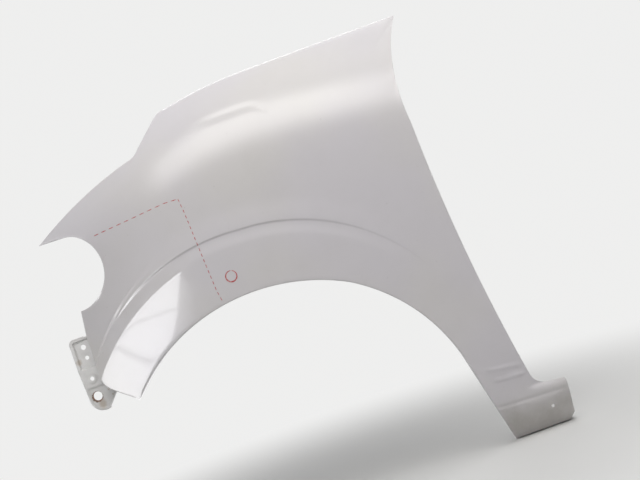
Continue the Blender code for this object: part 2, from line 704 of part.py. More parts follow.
def bracket_outline(edges):
    """The plate's closed outline of (x, z) points, anticlockwise from its upper rear corner, with
    the places along it where its free edge and its weld tab start and stop, and its ledge's ends."""
    line_x, top = edges["bumper"][1]
    rear = line_x + SHEET + WELD_GAP - BRACKET_BEND_RADIUS
    outer = line_x - BRACKET_REACH
    ledge = top - BRACKET_RECESS_DROP
    corner = point(outer + BRACKET_CORNER, top - BRACKET_CORNER)
    lobe = point(outer + BRACKET_TAPER, top - BRACKET_HEIGHT) + BRACKET_LOBE_RADIUS
    heel = point(rear + BRACKET_HEEL_REACH, top - BRACKET_HEEL_DROP)
    tab_foot = point(rear, top - BRACKET_TAB_DROP)
    foot = round_from(lobe, BRACKET_LOBE_RADIUS, 180.0, BRACKET_LOBE_END, BRACKET_LOBE_CELLS)
    tab = even(np.array([point(rear, ledge + BRACKET_WALL), point(rear, top - BRACKET_NOTCH)]),
               BRACKET_TAB_CELLS)
    pieces = [
        [point(rear, top), point(rear - BRACKET_NOTCH, top)],
        round_from(corner, BRACKET_CORNER, 90.0, 180.0, BRACKET_CORNER_CELLS),
        [point(outer, ledge + BRACKET_WALL), point(outer, ledge)],
        foot,
        rounded([(foot[-1], 0.0), (heel, BRACKET_HEEL_RADIUS), (tab_foot, 0.0)])[1:],
        [point(rear, ledge)],
        tab,
    ]
    stops = np.cumsum([len(piece) for piece in pieces])
    marks = {"free": (1, stops[3] - 1), "tab": (stops[4] - 1, stops[6]),
             "outer_ledge": stops[1], "rear_ledge": stops[4]}
    return np.concatenate(pieces), marks


def inset(ring, width):
    """A closed anticlockwise ring moved inward by the given width at each point."""
    ahead = np.roll(ring, -1, axis=0) - ring
    ahead /= np.hypot(*ahead.T)[:, None]
    behind = np.roll(ahead, 1, axis=0)
    both = ahead + behind
    mitre = np.column_stack([-both[:, 1], both[:, 0]]) / (1.0 + (ahead * behind).sum(axis=1))[:, None]
    return ring + mitre * np.asarray(width)[..., None]


def bracket_surface(edges):
    """A plate with a flat rim and a pocket pressed in above its ledge, its free edge turned
    inboard and its rear edge turned outboard into a weld tab."""
    ring, marks = bracket_outline(edges)
    count = len(ring)
    rim = np.full(count, BRACKET_RIM)
    rim[0] = rim[marks["tab"][0]:] = BRACKET_REAR_RIM
    inner, floor = inset(ring, rim), inset(ring, rim + BRACKET_WALL)
    in_pocket = ring[:, 1] > ring[marks["rear_ledge"], 1] + BRACKET_WALL / 2
    plane = float(skin_depth(*edges["bumper"][1])) + FRONT_FLANGE + BRACKET_SETBACK

    free = np.arange(*marks["free"])
    outward = outward_of(ring[free], left=False)
    ring[free] -= BRACKET_BEND_RADIUS * outward
    plan = np.concatenate([ring, inner, floor])
    recess = np.concatenate([np.zeros(2 * count), np.where(in_pocket, BRACKET_RECESS, 0.0)])
    points = np.column_stack([plan[:, 0], plane + recess, plan[:, 1]])

    here = np.arange(count)
    after = np.roll(here, -1)
    band = np.column_stack([here, after, after + count, here + count])
    outer_high = marks["outer_ledge"]
    outer_low = outer_high + 1
    rear_low = marks["rear_ledge"]
    rear_high = rear_low + 1
    floors = [[outer_low, rear_low, rear_high, outer_high], list(range(outer_low, rear_low + 1)),
              list(range(rear_high, count)) + list(range(outer_high + 1))]
    faces = band.tolist() + (band + count).tolist()
    faces += [[place + 2 * count for place in face] for face in floors]
    surface = Surface(points, faces)

    edge = plain_flange(0.0, BRACKET_EDGE_FLANGE, BRACKET_BEND_RADIUS)
    surface.flange(free, outward, np.tile(edge, (len(free), 1, 1)), left=False)
    tab = np.arange(*marks["tab"])
    bent = bend(0.0, BRACKET_BEND_RADIUS, -math.pi / 2, 2)
    bent = np.concatenate([bent, bent[-1:] - [[0.0, BRACKET_TAB_LENGTH]]])
    surface.flange(tab, np.tile([1.0, 0.0], (len(tab), 1)), np.tile(bent, (len(tab), 1, 1)),
                   left=False)
    return surface, plane


def bracket_holes(edges, plane):
    """The holes for the bumper's end, as (centre, axis, radius)."""
    line_x, line_z = edges["bumper"][1]
    return [((line_x - BRACKET_REACH + across, plane, line_z - drop), (0.0, 1.0, 0.0), radius)
            for across, drop, radius in BRACKET_HOLES]


# Objects

def painted(name, color):
    """Glossy paint under a clear coat."""
    material = bpy.data.materials.new(name)
    material.use_nodes = True
    shader = material.node_tree.nodes["Principled BSDF"]
    shader.inputs["Base Color"].default_value = (*color, 1.0)
    shader.inputs["Metallic"].default_value = 0.0
    shader.inputs["Roughness"].default_value = PAINT_ROUGHNESS
    shader.inputs["Coat Weight"].default_value = 1.0
    return material


def add_object(name, data, anchor):
    """An object in the scene that hangs from the anchor."""
    thing = bpy.data.objects.new(name, data)
    bpy.context.scene.collection.objects.link(thing)
    thing.parent = anchor
    return thing


def cutters(name, holes, anchor):
    """One mesh of round cutters, each a (centre, axis, radius) hole."""
    work = bmesh.new()
    for centre, axis, radius in holes:
        turn = Vector(axis).to_track_quat("Z", "Y").to_matrix().to_4x4()
        bmesh.ops.create_cone(work, cap_ends=True, segments=HOLE_SIDES, radius1=radius,
                              radius2=radius, depth=HOLE_REACH,
                              matrix=Matrix.Translation(Vector(centre)) @ turn)
    mesh = bpy.data.meshes.new(name)
    work.to_mesh(mesh)
    work.free()
    cutter = add_object(name, mesh, anchor)
    cutter.hide_render = True
    cutter.display_type = "WIRE"
    return cutter


def add_sheet(name, surface, thickness, holes, color, anchor):
    """A pressed sheet: its outer face as a mesh, thickened inward, then pierced."""
    mesh = bpy.data.meshes.new(name)
    mesh.from_pydata(surface.points, [], surface.faces)
    mesh.shade_smooth()
    mesh.set_sharp_from_angle(angle=math.radians(SHARP_ANGLE))
    mesh.materials.append(painted(name + "_paint", color))
    sheet = add_object(name, mesh, anchor)
    wall = sheet.modifiers.new("Sheet", "SOLIDIFY")
    wall.thickness = thickness
    wall.offset = -1.0
    wall.use_even_offset = True
    wall.use_quality_normals = True
    pierce = sheet.modifiers.new("Holes", "BOOLEAN")
    pierce.operation = "DIFFERENCE"
    pierce.object = cutters(name + "_holes", holes, anchor)
    return sheet


def main():
    """Clears the scene and builds both sheets."""
    for thing in list(bpy.data.objects):
        bpy.data.objects.remove(thing)
    edges = fender_outline()
    plan = skin_plan(edges)
    panel, rows = turn_edges(skin_surface(plan))
    bracket, plane = bracket_surface(edges)

    anchor = bpy.data.objects.new("middle_hood_pad", None)
    bpy.context.scene.collection.objects.link(anchor)
    anchor.location = -Vector(seats(panel, rows)[len(HOOD_PADS) // 2])
    add_sheet("fender_panel", panel, SHEET, panel_holes(panel, rows, edges), PANEL_COLOR, anchor)
    add_sheet("front_bracket", bracket, BRACKET_SHEET, bracket_holes(edges, plane), BRACKET_COLOR,
              anchor)


if __name__ == "__main__":
    main()
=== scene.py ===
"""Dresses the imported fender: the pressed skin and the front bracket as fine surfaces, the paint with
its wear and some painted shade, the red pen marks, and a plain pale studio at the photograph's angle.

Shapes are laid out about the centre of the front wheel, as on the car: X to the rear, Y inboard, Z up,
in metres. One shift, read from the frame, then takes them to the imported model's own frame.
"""
import math

import bpy
import numpy as np
from bpy.props import FloatProperty, FloatVectorProperty, PointerProperty
from mathutils import Matrix, Vector


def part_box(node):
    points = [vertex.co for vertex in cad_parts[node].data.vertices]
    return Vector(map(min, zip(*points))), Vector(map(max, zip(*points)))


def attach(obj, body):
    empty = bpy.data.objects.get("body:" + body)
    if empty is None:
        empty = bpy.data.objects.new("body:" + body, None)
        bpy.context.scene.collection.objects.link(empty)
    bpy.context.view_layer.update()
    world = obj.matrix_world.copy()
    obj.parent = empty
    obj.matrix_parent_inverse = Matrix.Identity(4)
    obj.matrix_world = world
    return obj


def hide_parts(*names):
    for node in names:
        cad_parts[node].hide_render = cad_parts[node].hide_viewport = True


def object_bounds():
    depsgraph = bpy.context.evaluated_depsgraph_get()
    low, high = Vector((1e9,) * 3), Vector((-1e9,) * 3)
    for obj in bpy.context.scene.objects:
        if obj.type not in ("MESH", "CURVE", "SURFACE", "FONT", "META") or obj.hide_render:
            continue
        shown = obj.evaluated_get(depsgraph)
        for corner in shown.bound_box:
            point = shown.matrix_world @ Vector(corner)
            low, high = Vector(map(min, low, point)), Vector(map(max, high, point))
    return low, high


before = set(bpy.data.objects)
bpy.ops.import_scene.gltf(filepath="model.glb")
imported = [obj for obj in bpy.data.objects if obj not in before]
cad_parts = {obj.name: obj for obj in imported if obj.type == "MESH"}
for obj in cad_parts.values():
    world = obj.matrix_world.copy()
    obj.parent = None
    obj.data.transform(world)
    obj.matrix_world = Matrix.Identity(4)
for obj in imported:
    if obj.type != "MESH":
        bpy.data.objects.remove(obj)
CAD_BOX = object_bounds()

bl_info = {
    "name": "Van Fender",
    "version": (1, 0, 0),
    "blender": (4, 5, 0),
    "location": "View3D > Sidebar > Fender",
    "description": "Builds the fine skin, bracket, paint and studio of a used van fender",
    "category": "Add Mesh",
}

# Sheet metal
SHEET = 0.0008
BRACKET_SHEET = 0.0015
WELD_GAP = 0.0003

# Wheel arch, as radii from the wheel centre and angles from straight up, in degrees
ARCH_RADIUS = 0.352
ARCH_FRONT_SWEEP = 51.2
ARCH_FRONT_EASE = 0.012
ARCH_TURN_SWEEP = 27.8
ARCH_REAR_SWEEP = 73.7
ARCH_REAR_PINCH = 0.0134
ARCH_REAR_FULLNESS = 0.028
ARCH_FOOT_SLANT = 0.027
ARCH_FOOT_DROP = 0.106

# Flare round the arch
FLARE_WIDTH = 0.128
FLARE_START_RISE = 0.093
FLARE_BROW = 0.003
FLARE_BROW_SWEEP = 33.0
FLARE_CREST_EASE = 0.004
FLARE_CREST_SHARE = 0.3
FLARE_TAIL_SWEEP = 45.4
FLARE_TAIL_WIDTH = 0.090
FLARE_TAIL_BOW = 0.022
FLARE_FOOT_WIDTH = 0.050
STEP_WIDTH = 0.007
FLARE_FRONT_END = -42.0
FLARE_CREST_START = -8.0
FLARE_REACH = 0.045
FLARE_FALL_WIDTH = 0.0042
FLARE_SWELL_WIDTH = 0.026
FLARE_LEAN_SOFTNESS = 0.0015
FLARE_FADE_START = 5.0
FLARE_FADE_END = 52.0

# Front edge
FRONT_REACH = 0.063
FRONT_CORNER_RISE = 0.044
FRONT_CORNER_RADIUS = 0.058
BUMPER_LINE_RISE = 0.148
BUMPER_TOP_RISE = 0.195
BUMPER_TOP_LEAN = 0.006
LAMP_RADIUS = 0.0735
NOSE_REACH = 0.055
NOSE_LIFT = 0.004

# Upper edge
NOSE_LENGTH = 0.246
NOSE_CLIMB = 0.097
NOSE_BULGE = 0.009
NOSE_ARC_STEP = 8
NOTCH_RADIUS = 0.030
RAMP_LENGTH = 0.066
RAMP_CLIMB = 0.073
HOOD_CORNER_RADIUS = 0.045
HOOD_CORNER_SHARE = 0.15
HOOD_FRONT_LENGTH = 0.178
HOOD_FRONT_CLIMB = 0.0225
HOOD_FRONT_BULGE = 0.0035
HOOD_REAR_LENGTH = 0.331
HOOD_REAR_CLIMB = 0.014

# Rear edge and foot
WAIST_SETBACK = 0.052
WAIST_DROP = 0.222
WAIST_HOLLOW = 0.020
PILLAR_FOOT = 0.0825
PILLAR_HOLLOW = 0.012
PILLAR_FOOT_RADIUS = 0.040
PILLAR_BLEND_POINTS = 6
FOOT_CORNER_SHARE = 0.12
FOOT_CORNER_RADIUS = 0.006
SILL_LENGTH = 0.141
SILL_TOP_RISE = 0.025
SILL_TOP_FALL = 0.006
SILL_DEPTH = 0.066
SILL_SLANT = 0.018
SILL_CORNER = 0.012
SILL_TUCK = 0.024
SILL_TUCK_POWER = 1.3

# Depth of the plain skin
FRONT_SWEEP_START = 0.100
FRONT_SWEEP_RADIUS = 0.474
DOOR_SWEEP_START = 0.200
DOOR_SWEEP_RADIUS = 3.9
CROWN_START = 0.250
CROWN_RADIUS = 3.6
TUCK_START = 0.200
TUCK_RADIUS = 2.1
SHOULDER_HEIGHT = 0.700
SHOULDER_REAR_FALL = 0.117
SHOULDER_FRONT_FALL = 0.440
SHOULDER_BLEND = 0.060
SHOULDER_SLOPE = 0.90
SHOULDER_SOFTNESS = 0.032

# Short crease in the shoulder
CREASE_START = -0.030
CREASE_END = 0.118
CREASE_HEIGHT = 0.690
CREASE_HOOK = 0.020
CREASE_HOOK_SHARE = 0.2
CREASE_WIDTH = 0.0072
CREASE_FADE_SHARE = 0.45
CREASE_END_FADE = 0.012
CREASE_END_EASE = 0.004

# Pressed lines on the foot, as ((x, z) ends, half width, depth), and its rolled top edge
FOOT_LINES = (
    ((0.330, -0.0040), (0.510, -0.0118), 0.0032, 0.0017),
    ((0.352, 0.0690), (0.424, 0.0596), 0.0030, -0.0015),
    ((0.358, 0.0455), (0.428, 0.0418), 0.0030, -0.0016),
)
FOOT_LINE_FADE = 0.2
FOOT_ROLL_START = 0.412
FOOT_ROLL_RUN = 0.030
FOOT_ROLL_DEPTH = 0.013
FOOT_ROLL_RADIUS = 0.014

# Flanges
BEND_RADIUS = 0.0025
ARCH_FLANGE = 0.020
FRONT_FLANGE = 0.008
LAMP_FLANGE = 0.009
NOSE_FLANGE = 0.014
HOOD_BEND_RADIUS = 0.004
HOOD_WALL = 0.020
HOOD_WALL_LEAN = 8.0
HOOD_FLANGE = 0.028
DOOR_FLANGE = 0.014
SILL_END_FLANGE = 0.009
SILL_FLANGE = 0.028
HOOD_PADS = (0.060, 0.240, 0.415)
PAD_LENGTH = 0.062
PAD_SEAT_LENGTH = 0.022
PAD_HOLE_RADIUS = 0.0045
DOOR_TABS = (0.105, 0.585)
TAB_WIDTH = 0.034
TAB_FLARE = 0.014
TAB_LENGTH = 0.018
TAB_HOLE_RADIUS = 0.0035
CLIP_SWEEPS = (-38.0, -14.0, 10.0, 34.0, 62.0)
CLIP_HOLE_RADIUS = 0.0040
SILL_HOLE_RADIUS = 0.0033
SILL_HOLE_SETBACK = 0.039
SILL_HOLE_DROP = 0.026
SILL_BOLT_RADIUS = 0.0040
SILL_BOLT_SETBACK = 0.055

# Front bracket: widths from its outer edge, drops from its top edge
BRACKET_REACH = 0.040
BRACKET_HEIGHT = 0.149
BRACKET_SETBACK = 0.0035
BRACKET_CORNER = 0.010
BRACKET_TAPER = 0.0035
BRACKET_LOBE_RADIUS = 0.026
BRACKET_LOBE_END = 293.0
BRACKET_HEEL_REACH = 0.028
BRACKET_HEEL_DROP = 0.112
BRACKET_HEEL_RADIUS = 0.014
BRACKET_RIM = 0.0045
BRACKET_WALL = 0.003
BRACKET_RECESS = 0.0030
BRACKET_RECESS_DROP = 0.0625
BRACKET_LOBE_RECESS = 0.0013
BRACKET_LOBE_DROP = 0.098
BRACKET_BOSS = 0.0008
BRACKET_BOSS_RADIUS = 0.0075
BRACKET_EDGE_FLANGE = 0.0055
BRACKET_BEND_RADIUS = 0.0015
BRACKET_TAB_LENGTH = 0.008
BRACKET_TAB_DROP = 0.068
BRACKET_NOTCH = 0.009

# Its holes, as (width, drop, radius)
BRACKET_HOLES = (
    (0.0245, 0.0202, 0.0050),
    (0.0250, 0.0416, 0.0040),
    (0.0220, 0.0831, 0.0040),
    (0.0215, 0.1184, 0.0087),
)

# The solids' cells and rows, how finely this surface divides each of them, and how it is evened out
NOSE_CELLS = 12
RAMP_CELLS = 5
HOOD_SPANS = (2, 1, 1, 1, 3, 1, 1, 1, 3, 1, 1, 1, 2)
DOOR_SPANS = (2, 1, 1, 1, 8, 1, 1, 1, 4)
FOOT_CELLS = 7
SILL_CELLS = 4
ARCH_SHARES = (0.0, 0.25, 0.30, 0.60, 0.935, 1.0)
STEP_SHARES = (0.0, 0.24, 0.289, 0.585, 0.953, 1.0)
FLARE_ROWS = 6
STEP_ROWS = 2
BUMPER_ROWS = 2
LAMP_ROWS = 10
NOSE_ROWS = 3
FINENESS = 5
FLARE_BREAKS = (0.0, 4.5, 5.65, 6.0)
FLARE_FINENESS = (10, 9, 9)
OUTER_FINENESS = (5, 6, 5, 5)
RELAX_ROUNDS = 600
FINE_RELAX_ROUNDS = 160
FRONT_BEND_POWER = 1.3
DRAWN_ROWS = 20
DRAWN_REACH = 4.0
SMALLEST_BEND = 0.15

# Cells round bends, over the bracket, along arcs and round holes, and what bounds them
BEND_SEGMENTS = 5
HOOD_BEND_SEGMENTS = 7
HOOD_FOOT_SEGMENTS = 4
FLAT_SHARES = (0.5, 1.0)
HOOD_FLAT_SHARES = (0.25, 0.75, 1.0)
BRACKET_ROWS = 150
BRACKET_COLUMNS = 48
BRACKET_END_SHARE = 0.45
BRACKET_LOBE_CELLS = 40
BRACKET_CORNER_CELLS = 24
BRACKET_TURN_CELLS = 16
BRACKET_TIP_GAP = 0.00003
ARC_POINTS = 65
CORNER_POINTS = 17
CORNER_ROOM = 0.48
SMALLEST_CORNER = 0.00001
SMALLEST_SQUARE = 1e-12
HOLE_SIDES = 40
HOLE_REACH = 0.012
SHARP_ANGLE = 40.0

# Stations and levels at which the parts of the fender begin
HOOD_AT = NOSE_CELLS + RAMP_CELLS
DOOR_AT = HOOD_AT + sum(HOOD_SPANS)
FOOT_AT = DOOR_AT + sum(DOOR_SPANS)
SILL_AT = FOOT_AT + FOOT_CELLS
LAST_CELL = SILL_AT + SILL_CELLS
PAD_STATIONS = [HOOD_AT + sum(HOOD_SPANS[:1 + 4 * pad]) for pad in range(len(HOOD_PADS))]
TAB_STATIONS = [DOOR_AT + sum(DOOR_SPANS[:2 + 4 * tab]) for tab in range(len(DOOR_TABS))]
STEP_AT = FLARE_ROWS
OUTER_AT = STEP_AT + STEP_ROWS
LAMP_AT = OUTER_AT + BUMPER_ROWS
UNDER_NOSE_AT = LAMP_AT + LAMP_ROWS
LAST_ROW = UNDER_NOSE_AT + NOSE_ROWS

# The photograph's view: the car stands turned in it, and the camera is rolled instead
PHOTO_WIDTH = 640
PHOTO_CENTRE = (320.0, 240.0)
WHEEL_PIXEL = (320.0, 468.0)
PIXEL_SIZE = 0.00187
CAMERA_DISTANCE = 2.300
CAMERA_ROLL = 19.0
SENSOR_WIDTH = 36.0

# Red pen marks, in the photograph's pixels
PEN_LINES = (
    (((94.0, 236.0), (128.8, 219.9), (163.5, 203.6), (177.8, 199.0)), 0.0165),
    (((177.8, 199.0), (183.4, 210.7), (199.0, 248.2), (216.6, 290.3), (223.5, 302.6)),
     0.0112),
)
PEN_CIRCLE = (231.4, 276.1)
PEN_CIRCLE_RADIUS = 0.0105
PEN_CIRCLE_WIDTH = 0.0027
PEN_WIDTH = 0.0016
PEN_DASH_SHARE = 0.60
PEN_LIFT = 0.00012
PEN_TAPER = 0.25
PEN_START_DEPTH = -0.2
PEN_CIRCLE_SWEEP = (80.0, 428.0)
PEN_CIRCLE_CELLS = 48
PEN_DASH_CELLS = 8
PEN_DEPTH_ROUNDS = 8

# Dust and painted shade, by height in the imported frame, where each begins and is full: a dusty layer
# low down, and painted shade along the sill's bottom edge
LOW_DUST = (-0.60, -0.83)
SILL_PAINTED_SHADE = (-0.735, -0.800)

# Rust round the bracket's large hole and the run below it, from the hole's centre, each with the
# distances at which it is gone and full, and tan spots as (x, z) in the layout, with their radii: the
# first two are painted shadow just past the skin's lower front edge, the third a stain
RUST_SHIFT = (-0.0014, 0.0, -0.0012)
RUST_RIM = (0.0034, 0.0006)
RUN_SHIFT = (0.004, 0.0, -0.0165)
RUN_REACH = (0.0105, 0.003)
RAGGEDNESS = 0.006
STAIN_AND_SHADOW_SPOTS = ((-0.3415, 0.2641, 0.0030), (-0.3367, 0.2521, 0.0026), (-0.3795, 0.3300, 0.0080))

# Studio: each lamp's name, setting, place from the middle of the part, size and style
STAGE_MIDDLE = (0.05, 0.0, 0.42)
WHITE = (1.0, 1.0, 1.0)
LAMPS = (
    ("key_softbox", "key", (0.05, -1.15, 1.65), (2.8, 2.2), {"tone": (1.0, 0.985, 0.960), "soft": 0.42}),
    ("overhead_softbox", "overhead", (0.9, -0.4, 4.0), (2.6, 2.6), {"mirrored": False}),
    ("edge_strip", "edge", (0.0, 1.3, 2.2), (2.6, 0.6), {"soft": 0.3, "lights": False}),
    ("side_strip", "side", (-1.9, 0.1, 0.1), (0.5, 1.6), {"lights": False}),
    ("rear_softbox", "rear", (0.4, 2.2, 1.1), (1.6, 1.2), {}),
)

# The mirrored window: its edge and fade are heights over the slanted line at which the light begins
# and is full, and its bars are (slope, height over that slope, half width), in shares of its size
WINDOW_CORNER = (-0.25, 0.02)
WINDOW_TONE = (0.98, 0.985, 1.0)
WINDOW_SOFTNESS = 0.03
WINDOW_SWEEP = 44.0
WINDOW_DISTANCE = 1.0
WINDOW_SHIFT = 0.1965
WINDOW_HEIGHT = 0.1880
WINDOW_TILT = 20.0
WINDOW_SIZE = (1.34, 0.45)
WINDOW_SLANT = -1.29
WINDOW_EDGE = (-0.46, -0.39)
WINDOW_FADE = (-0.80, -0.38)
WINDOW_FADE_SHARE = 0.30
WINDOW_BARS = ((0.85, 1.200, 0.035), (3.135, 1.760, 0.09))
WINDOW_BAR_SHARE = 0.62

# Floor
FLOOR_GAP = 0.002
FLOOR_SIZE = 16.0
FLOOR_FADE = (0.45, 1.25)


# Plane geometry: every outline is an array of (x, z) points

def point(x, z):
    return np.array([x, z], dtype=float)


def from_vertical(radius, degrees):
    """The point at this radius from the wheel centre, this far rearward of straight up."""
    angle = math.radians(degrees)
    return point(radius * math.sin(angle), radius * math.cos(angle))


def around(centre, radius, angles):
    """Points round a centre, at angles in radians."""
    return centre + radius * np.column_stack([np.cos(angles), np.sin(angles)])


def arc_through(start, middle, end):
    """A circular arc from start through middle to end."""
    first, second = middle - start, end - start
    cross = first[0] * second[1] - first[1] * second[0]
    a, b = first @ first, second @ second
    offset = point(second[1] * a - first[1] * b, first[0] * b - second[0] * a) / (2 * cross)
    centre, radius = start + offset, math.hypot(*offset)
    begin = math.atan2(*(start - centre)[::-1])
    finish = math.atan2(*(end - centre)[::-1])
    if cross > 0 and finish < begin:
        finish += 2 * math.pi
    if cross < 0 and finish > begin:
        finish -= 2 * math.pi
    return around(centre, radius, np.linspace(begin, finish, ARC_POINTS))


def arc(start, end, rise):
    """A circular arc that stands out by rise to the left of the line from start to end."""
    along = (end - start) / math.hypot(*(end - start))
    return arc_through(start, (start + end) / 2 + rise * point(-along[1], along[0]), end)


def round_from(centre, radius, first, last, cells):
    """Points round a centre, from one angle in degrees to another."""
    return around(centre, radius, np.radians(np.linspace(first, last, cells + 1)))


def rounded(corners):
    """A polyline of (place, radius) corners, each inner corner eased by a quadratic curve."""
    result = [corners[0][0]]
    for before, (here, radius), after in zip(corners, corners[1:], corners[2:]):
        back, ahead = before[0] - here, after[0] - here
        back_length, ahead_length = math.hypot(*back), math.hypot(*ahead)
        back, ahead = back / back_length, ahead / ahead_length
        turn = math.pi - math.acos(float(np.clip(back @ ahead, -1.0, 1.0)))
        cut = min(radius * math.tan(turn / 2), CORNER_ROOM * min(back_length, ahead_length))
        if cut < SMALLEST_CORNER:
            result.append(here)
            continue
        share = np.linspace(0.0, 1.0, CORNER_POINTS)[:, None]
        first, last = here + cut * back, here + cut * ahead
        result.extend((1 - share) ** 2 * first + 2 * share * (1 - share) * here + share ** 2 * last)
    result.append(corners[-1][0])
    return np.array(result)


def join(*pieces):
    """One polyline from several that follow each other."""
    return np.concatenate([pieces[0]] + [piece[1:] for piece in pieces[1:]])


def steps(line):
    """The lengths of a polyline's segments."""
    return np.hypot(*np.diff(line, axis=0).T)


def sample(line, shares):
    """The points at the given shares of a polyline's length."""
    run = np.concatenate([[0.0], np.cumsum(steps(line))])
    places = np.asarray(shares) * run[-1]
    return np.column_stack([np.interp(places, run, line[:, axis]) for axis in (0, 1)])


def even(line, cells):
    """Points that divide a polyline into equal lengths."""
    return sample(line, np.linspace(0.0, 1.0, cells + 1))


def spaced(breaks, cells):
    """Values from the first break to the last, with so many even cells between each two."""
    spans = [np.linspace(low, high, count + 1)[:-1]
             for low, high, count in zip(breaks, breaks[1:], cells)]
    return np.concatenate(spans + [breaks[-1:]])


def measured(line, marks, half_widths, cells):
    """Points along a line with breaks at the given distances to both sides of each mark."""
    length = steps(line).sum()
    sides = [-width for width in half_widths] + [width for width in reversed(half_widths)]
    breaks = [0.0] + [mark + side for mark in marks for side in sides] + [length]
    return sample(line, spaced(np.array(breaks) / length, cells))


def smooth(share):
    """Rises from 0 to 1 with level ends."""
    share = np.clip(share, 0.0, 1.0)
    return share * share * (3.0 - 2.0 * share)


def soft_ramp(value, softness):
    """0 below zero and the value itself above, joined by a logarithm of a sum of exponentials."""
    return np.logaddexp(0.0, value / softness) * softness


def sweep_in(distance, radius):
    """How far a parabola of this radius has turned inboard at a distance past its start."""
    return np.clip(distance, 0.0, None) ** 2 / (2 * radius)


def sill_share(stations):
    """0 up to the crease over the sill, then rising evenly to 1 at the last station."""
    return np.clip((stations - SILL_AT) / SILL_CELLS, 0.0, 1.0)


# Outline of the fender

def fender_outline():
    """The fender's edges, each a polyline: the arch and the upper edges run rearward, the front
    edges run upward."""
    front = from_vertical(ARCH_RADIUS + ARCH_FRONT_EASE, -ARCH_FRONT_SWEEP)
    turn = from_vertical(ARCH_RADIUS, ARCH_TURN_SWEEP)
    rear = from_vertical(ARCH_RADIUS - ARCH_REAR_PINCH, ARCH_REAR_SWEEP)
    foot = rear + point(ARCH_FOOT_SLANT, -ARCH_FOOT_DROP)
    heel = foot + point(SILL_SLANT, -SILL_DEPTH)
    edges = {"arch": join(arc_through(front, from_vertical(ARCH_RADIUS, 0.0), turn),
                          arc(turn, rear, ARCH_REAR_FULLNESS), np.array([rear, foot])),
             "arch_foot": np.array([foot, heel])}

    bumper_x = front[0] - FRONT_REACH
    step_start = point(bumper_x, front[1] + FLARE_START_RISE)
    step_inner = step_start - point(0.0, STEP_WIDTH)
    lamp_bottom = point(bumper_x + BUMPER_TOP_LEAN, front[1] + BUMPER_TOP_RISE)
    lamp_top = lamp_bottom + point(0.0, 2 * LAMP_RADIUS)
    tip = lamp_top + point(-NOSE_REACH, NOSE_LIFT)
    corner = point(bumper_x, front[1] + FRONT_CORNER_RISE)
    edges["lower_front"] = rounded([(front, 0.0), (corner, FRONT_CORNER_RADIUS), (step_inner, 0.0)])
    edges["step_end"] = np.array([step_inner, step_start])
    edges["bumper"] = np.array([step_start, point(bumper_x, front[1] + BUMPER_LINE_RISE), lamp_bottom])
    edges["lamp"] = arc(lamp_bottom, lamp_top, -LAMP_RADIUS)
    edges["under_nose"] = np.array([lamp_top, tip])

    notch = tip + point(NOSE_LENGTH, NOSE_CLIMB)
    hood_front = notch + point(RAMP_LENGTH, RAMP_CLIMB)
    hood_middle = hood_front + point(HOOD_FRONT_LENGTH, HOOD_FRONT_CLIMB)
    hood_rear = hood_middle + point(HOOD_REAR_LENGTH, HOOD_REAR_CLIMB)
    ramp_middle = (notch + hood_front) / 2
    hood_start = hood_front + (hood_middle - hood_front) * HOOD_CORNER_SHARE
    nose_line = [(place, 0.0) for place in arc(tip, notch, NOSE_BULGE)[:-1:NOSE_ARC_STEP]]
    edges["nose"] = rounded(nose_line + [(notch, NOTCH_RADIUS), (ramp_middle, 0.0)])
    edges["ramp"] = rounded([(ramp_middle, 0.0), (hood_front, HOOD_CORNER_RADIUS), (hood_start, 0.0)])
    edges["hood"] = join(arc(hood_start, hood_middle, HOOD_FRONT_BULGE),
                         np.array([hood_middle, hood_rear]))

    waist = hood_rear - point(WAIST_SETBACK, WAIST_DROP)
    pillar_foot = foot + point(PILLAR_FOOT, SILL_TOP_RISE)
    sill_top = foot + point(SILL_LENGTH, SILL_TOP_RISE - SILL_TOP_FALL)
    sill_side = foot + point(SILL_LENGTH, 0.0)
    foot_end = sill_top - (sill_top - pillar_foot) * FOOT_CORNER_SHARE
    pillar = arc(waist, pillar_foot, -PILLAR_HOLLOW)
    upper_pillar = pillar[:-PILLAR_BLEND_POINTS]
    edges["door"] = join(arc(hood_rear, waist, -WAIST_HOLLOW), upper_pillar)
    edges["foot"] = rounded([(upper_pillar[-1], 0.0), (pillar_foot, PILLAR_FOOT_RADIUS),
                             (foot_end, 0.0)])
    edges["sill_side"] = rounded([(foot_end, 0.0), (sill_top, FOOT_CORNER_RADIUS), (sill_side, 0.0)])
    edges["sill_end"] = np.array([sill_side, point(sill_side[0], heel[1] + SILL_CORNER)])
    edges["sill_bottom"] = np.array([heel, point(sill_side[0] - SILL_CORNER, heel[1]),
                                     edges["sill_end"][-1]])

    crown = from_vertical(ARCH_RADIUS + FLARE_WIDTH, 0.0)
    brow = from_vertical(ARCH_RADIUS + FLARE_WIDTH + FLARE_BROW, -FLARE_BROW_SWEEP)
    tail = from_vertical(ARCH_RADIUS + FLARE_TAIL_WIDTH, FLARE_TAIL_SWEEP)
    crest = from_vertical(ARCH_RADIUS + FLARE_WIDTH - FLARE_CREST_EASE,
                          FLARE_TAIL_SWEEP * FLARE_CREST_SHARE)
    step_foot = foot + point(FLARE_FOOT_WIDTH, 0.0)
    edges["step"] = join(arc_through(step_start, brow, crown), arc_through(crown, crest, tail),
                         arc(tail, step_foot, FLARE_TAIL_BOW))
    edges["step_foot"] = np.array([step_foot, heel + point(FLARE_FOOT_WIDTH + STEP_WIDTH, 0.0)])
    return edges


# Depth of the skin

def shoulder_height(x):
    """Height of the shoulder line: a gentle fall rearward that blends by a softened ramp into a
    faster one towards the nose."""
    forward = soft_ramp(-x, SHOULDER_BLEND)
    return SHOULDER_HEIGHT - SHOULDER_REAR_FALL * x - (SHOULDER_REAR_FALL + SHOULDER_FRONT_FALL) * forward


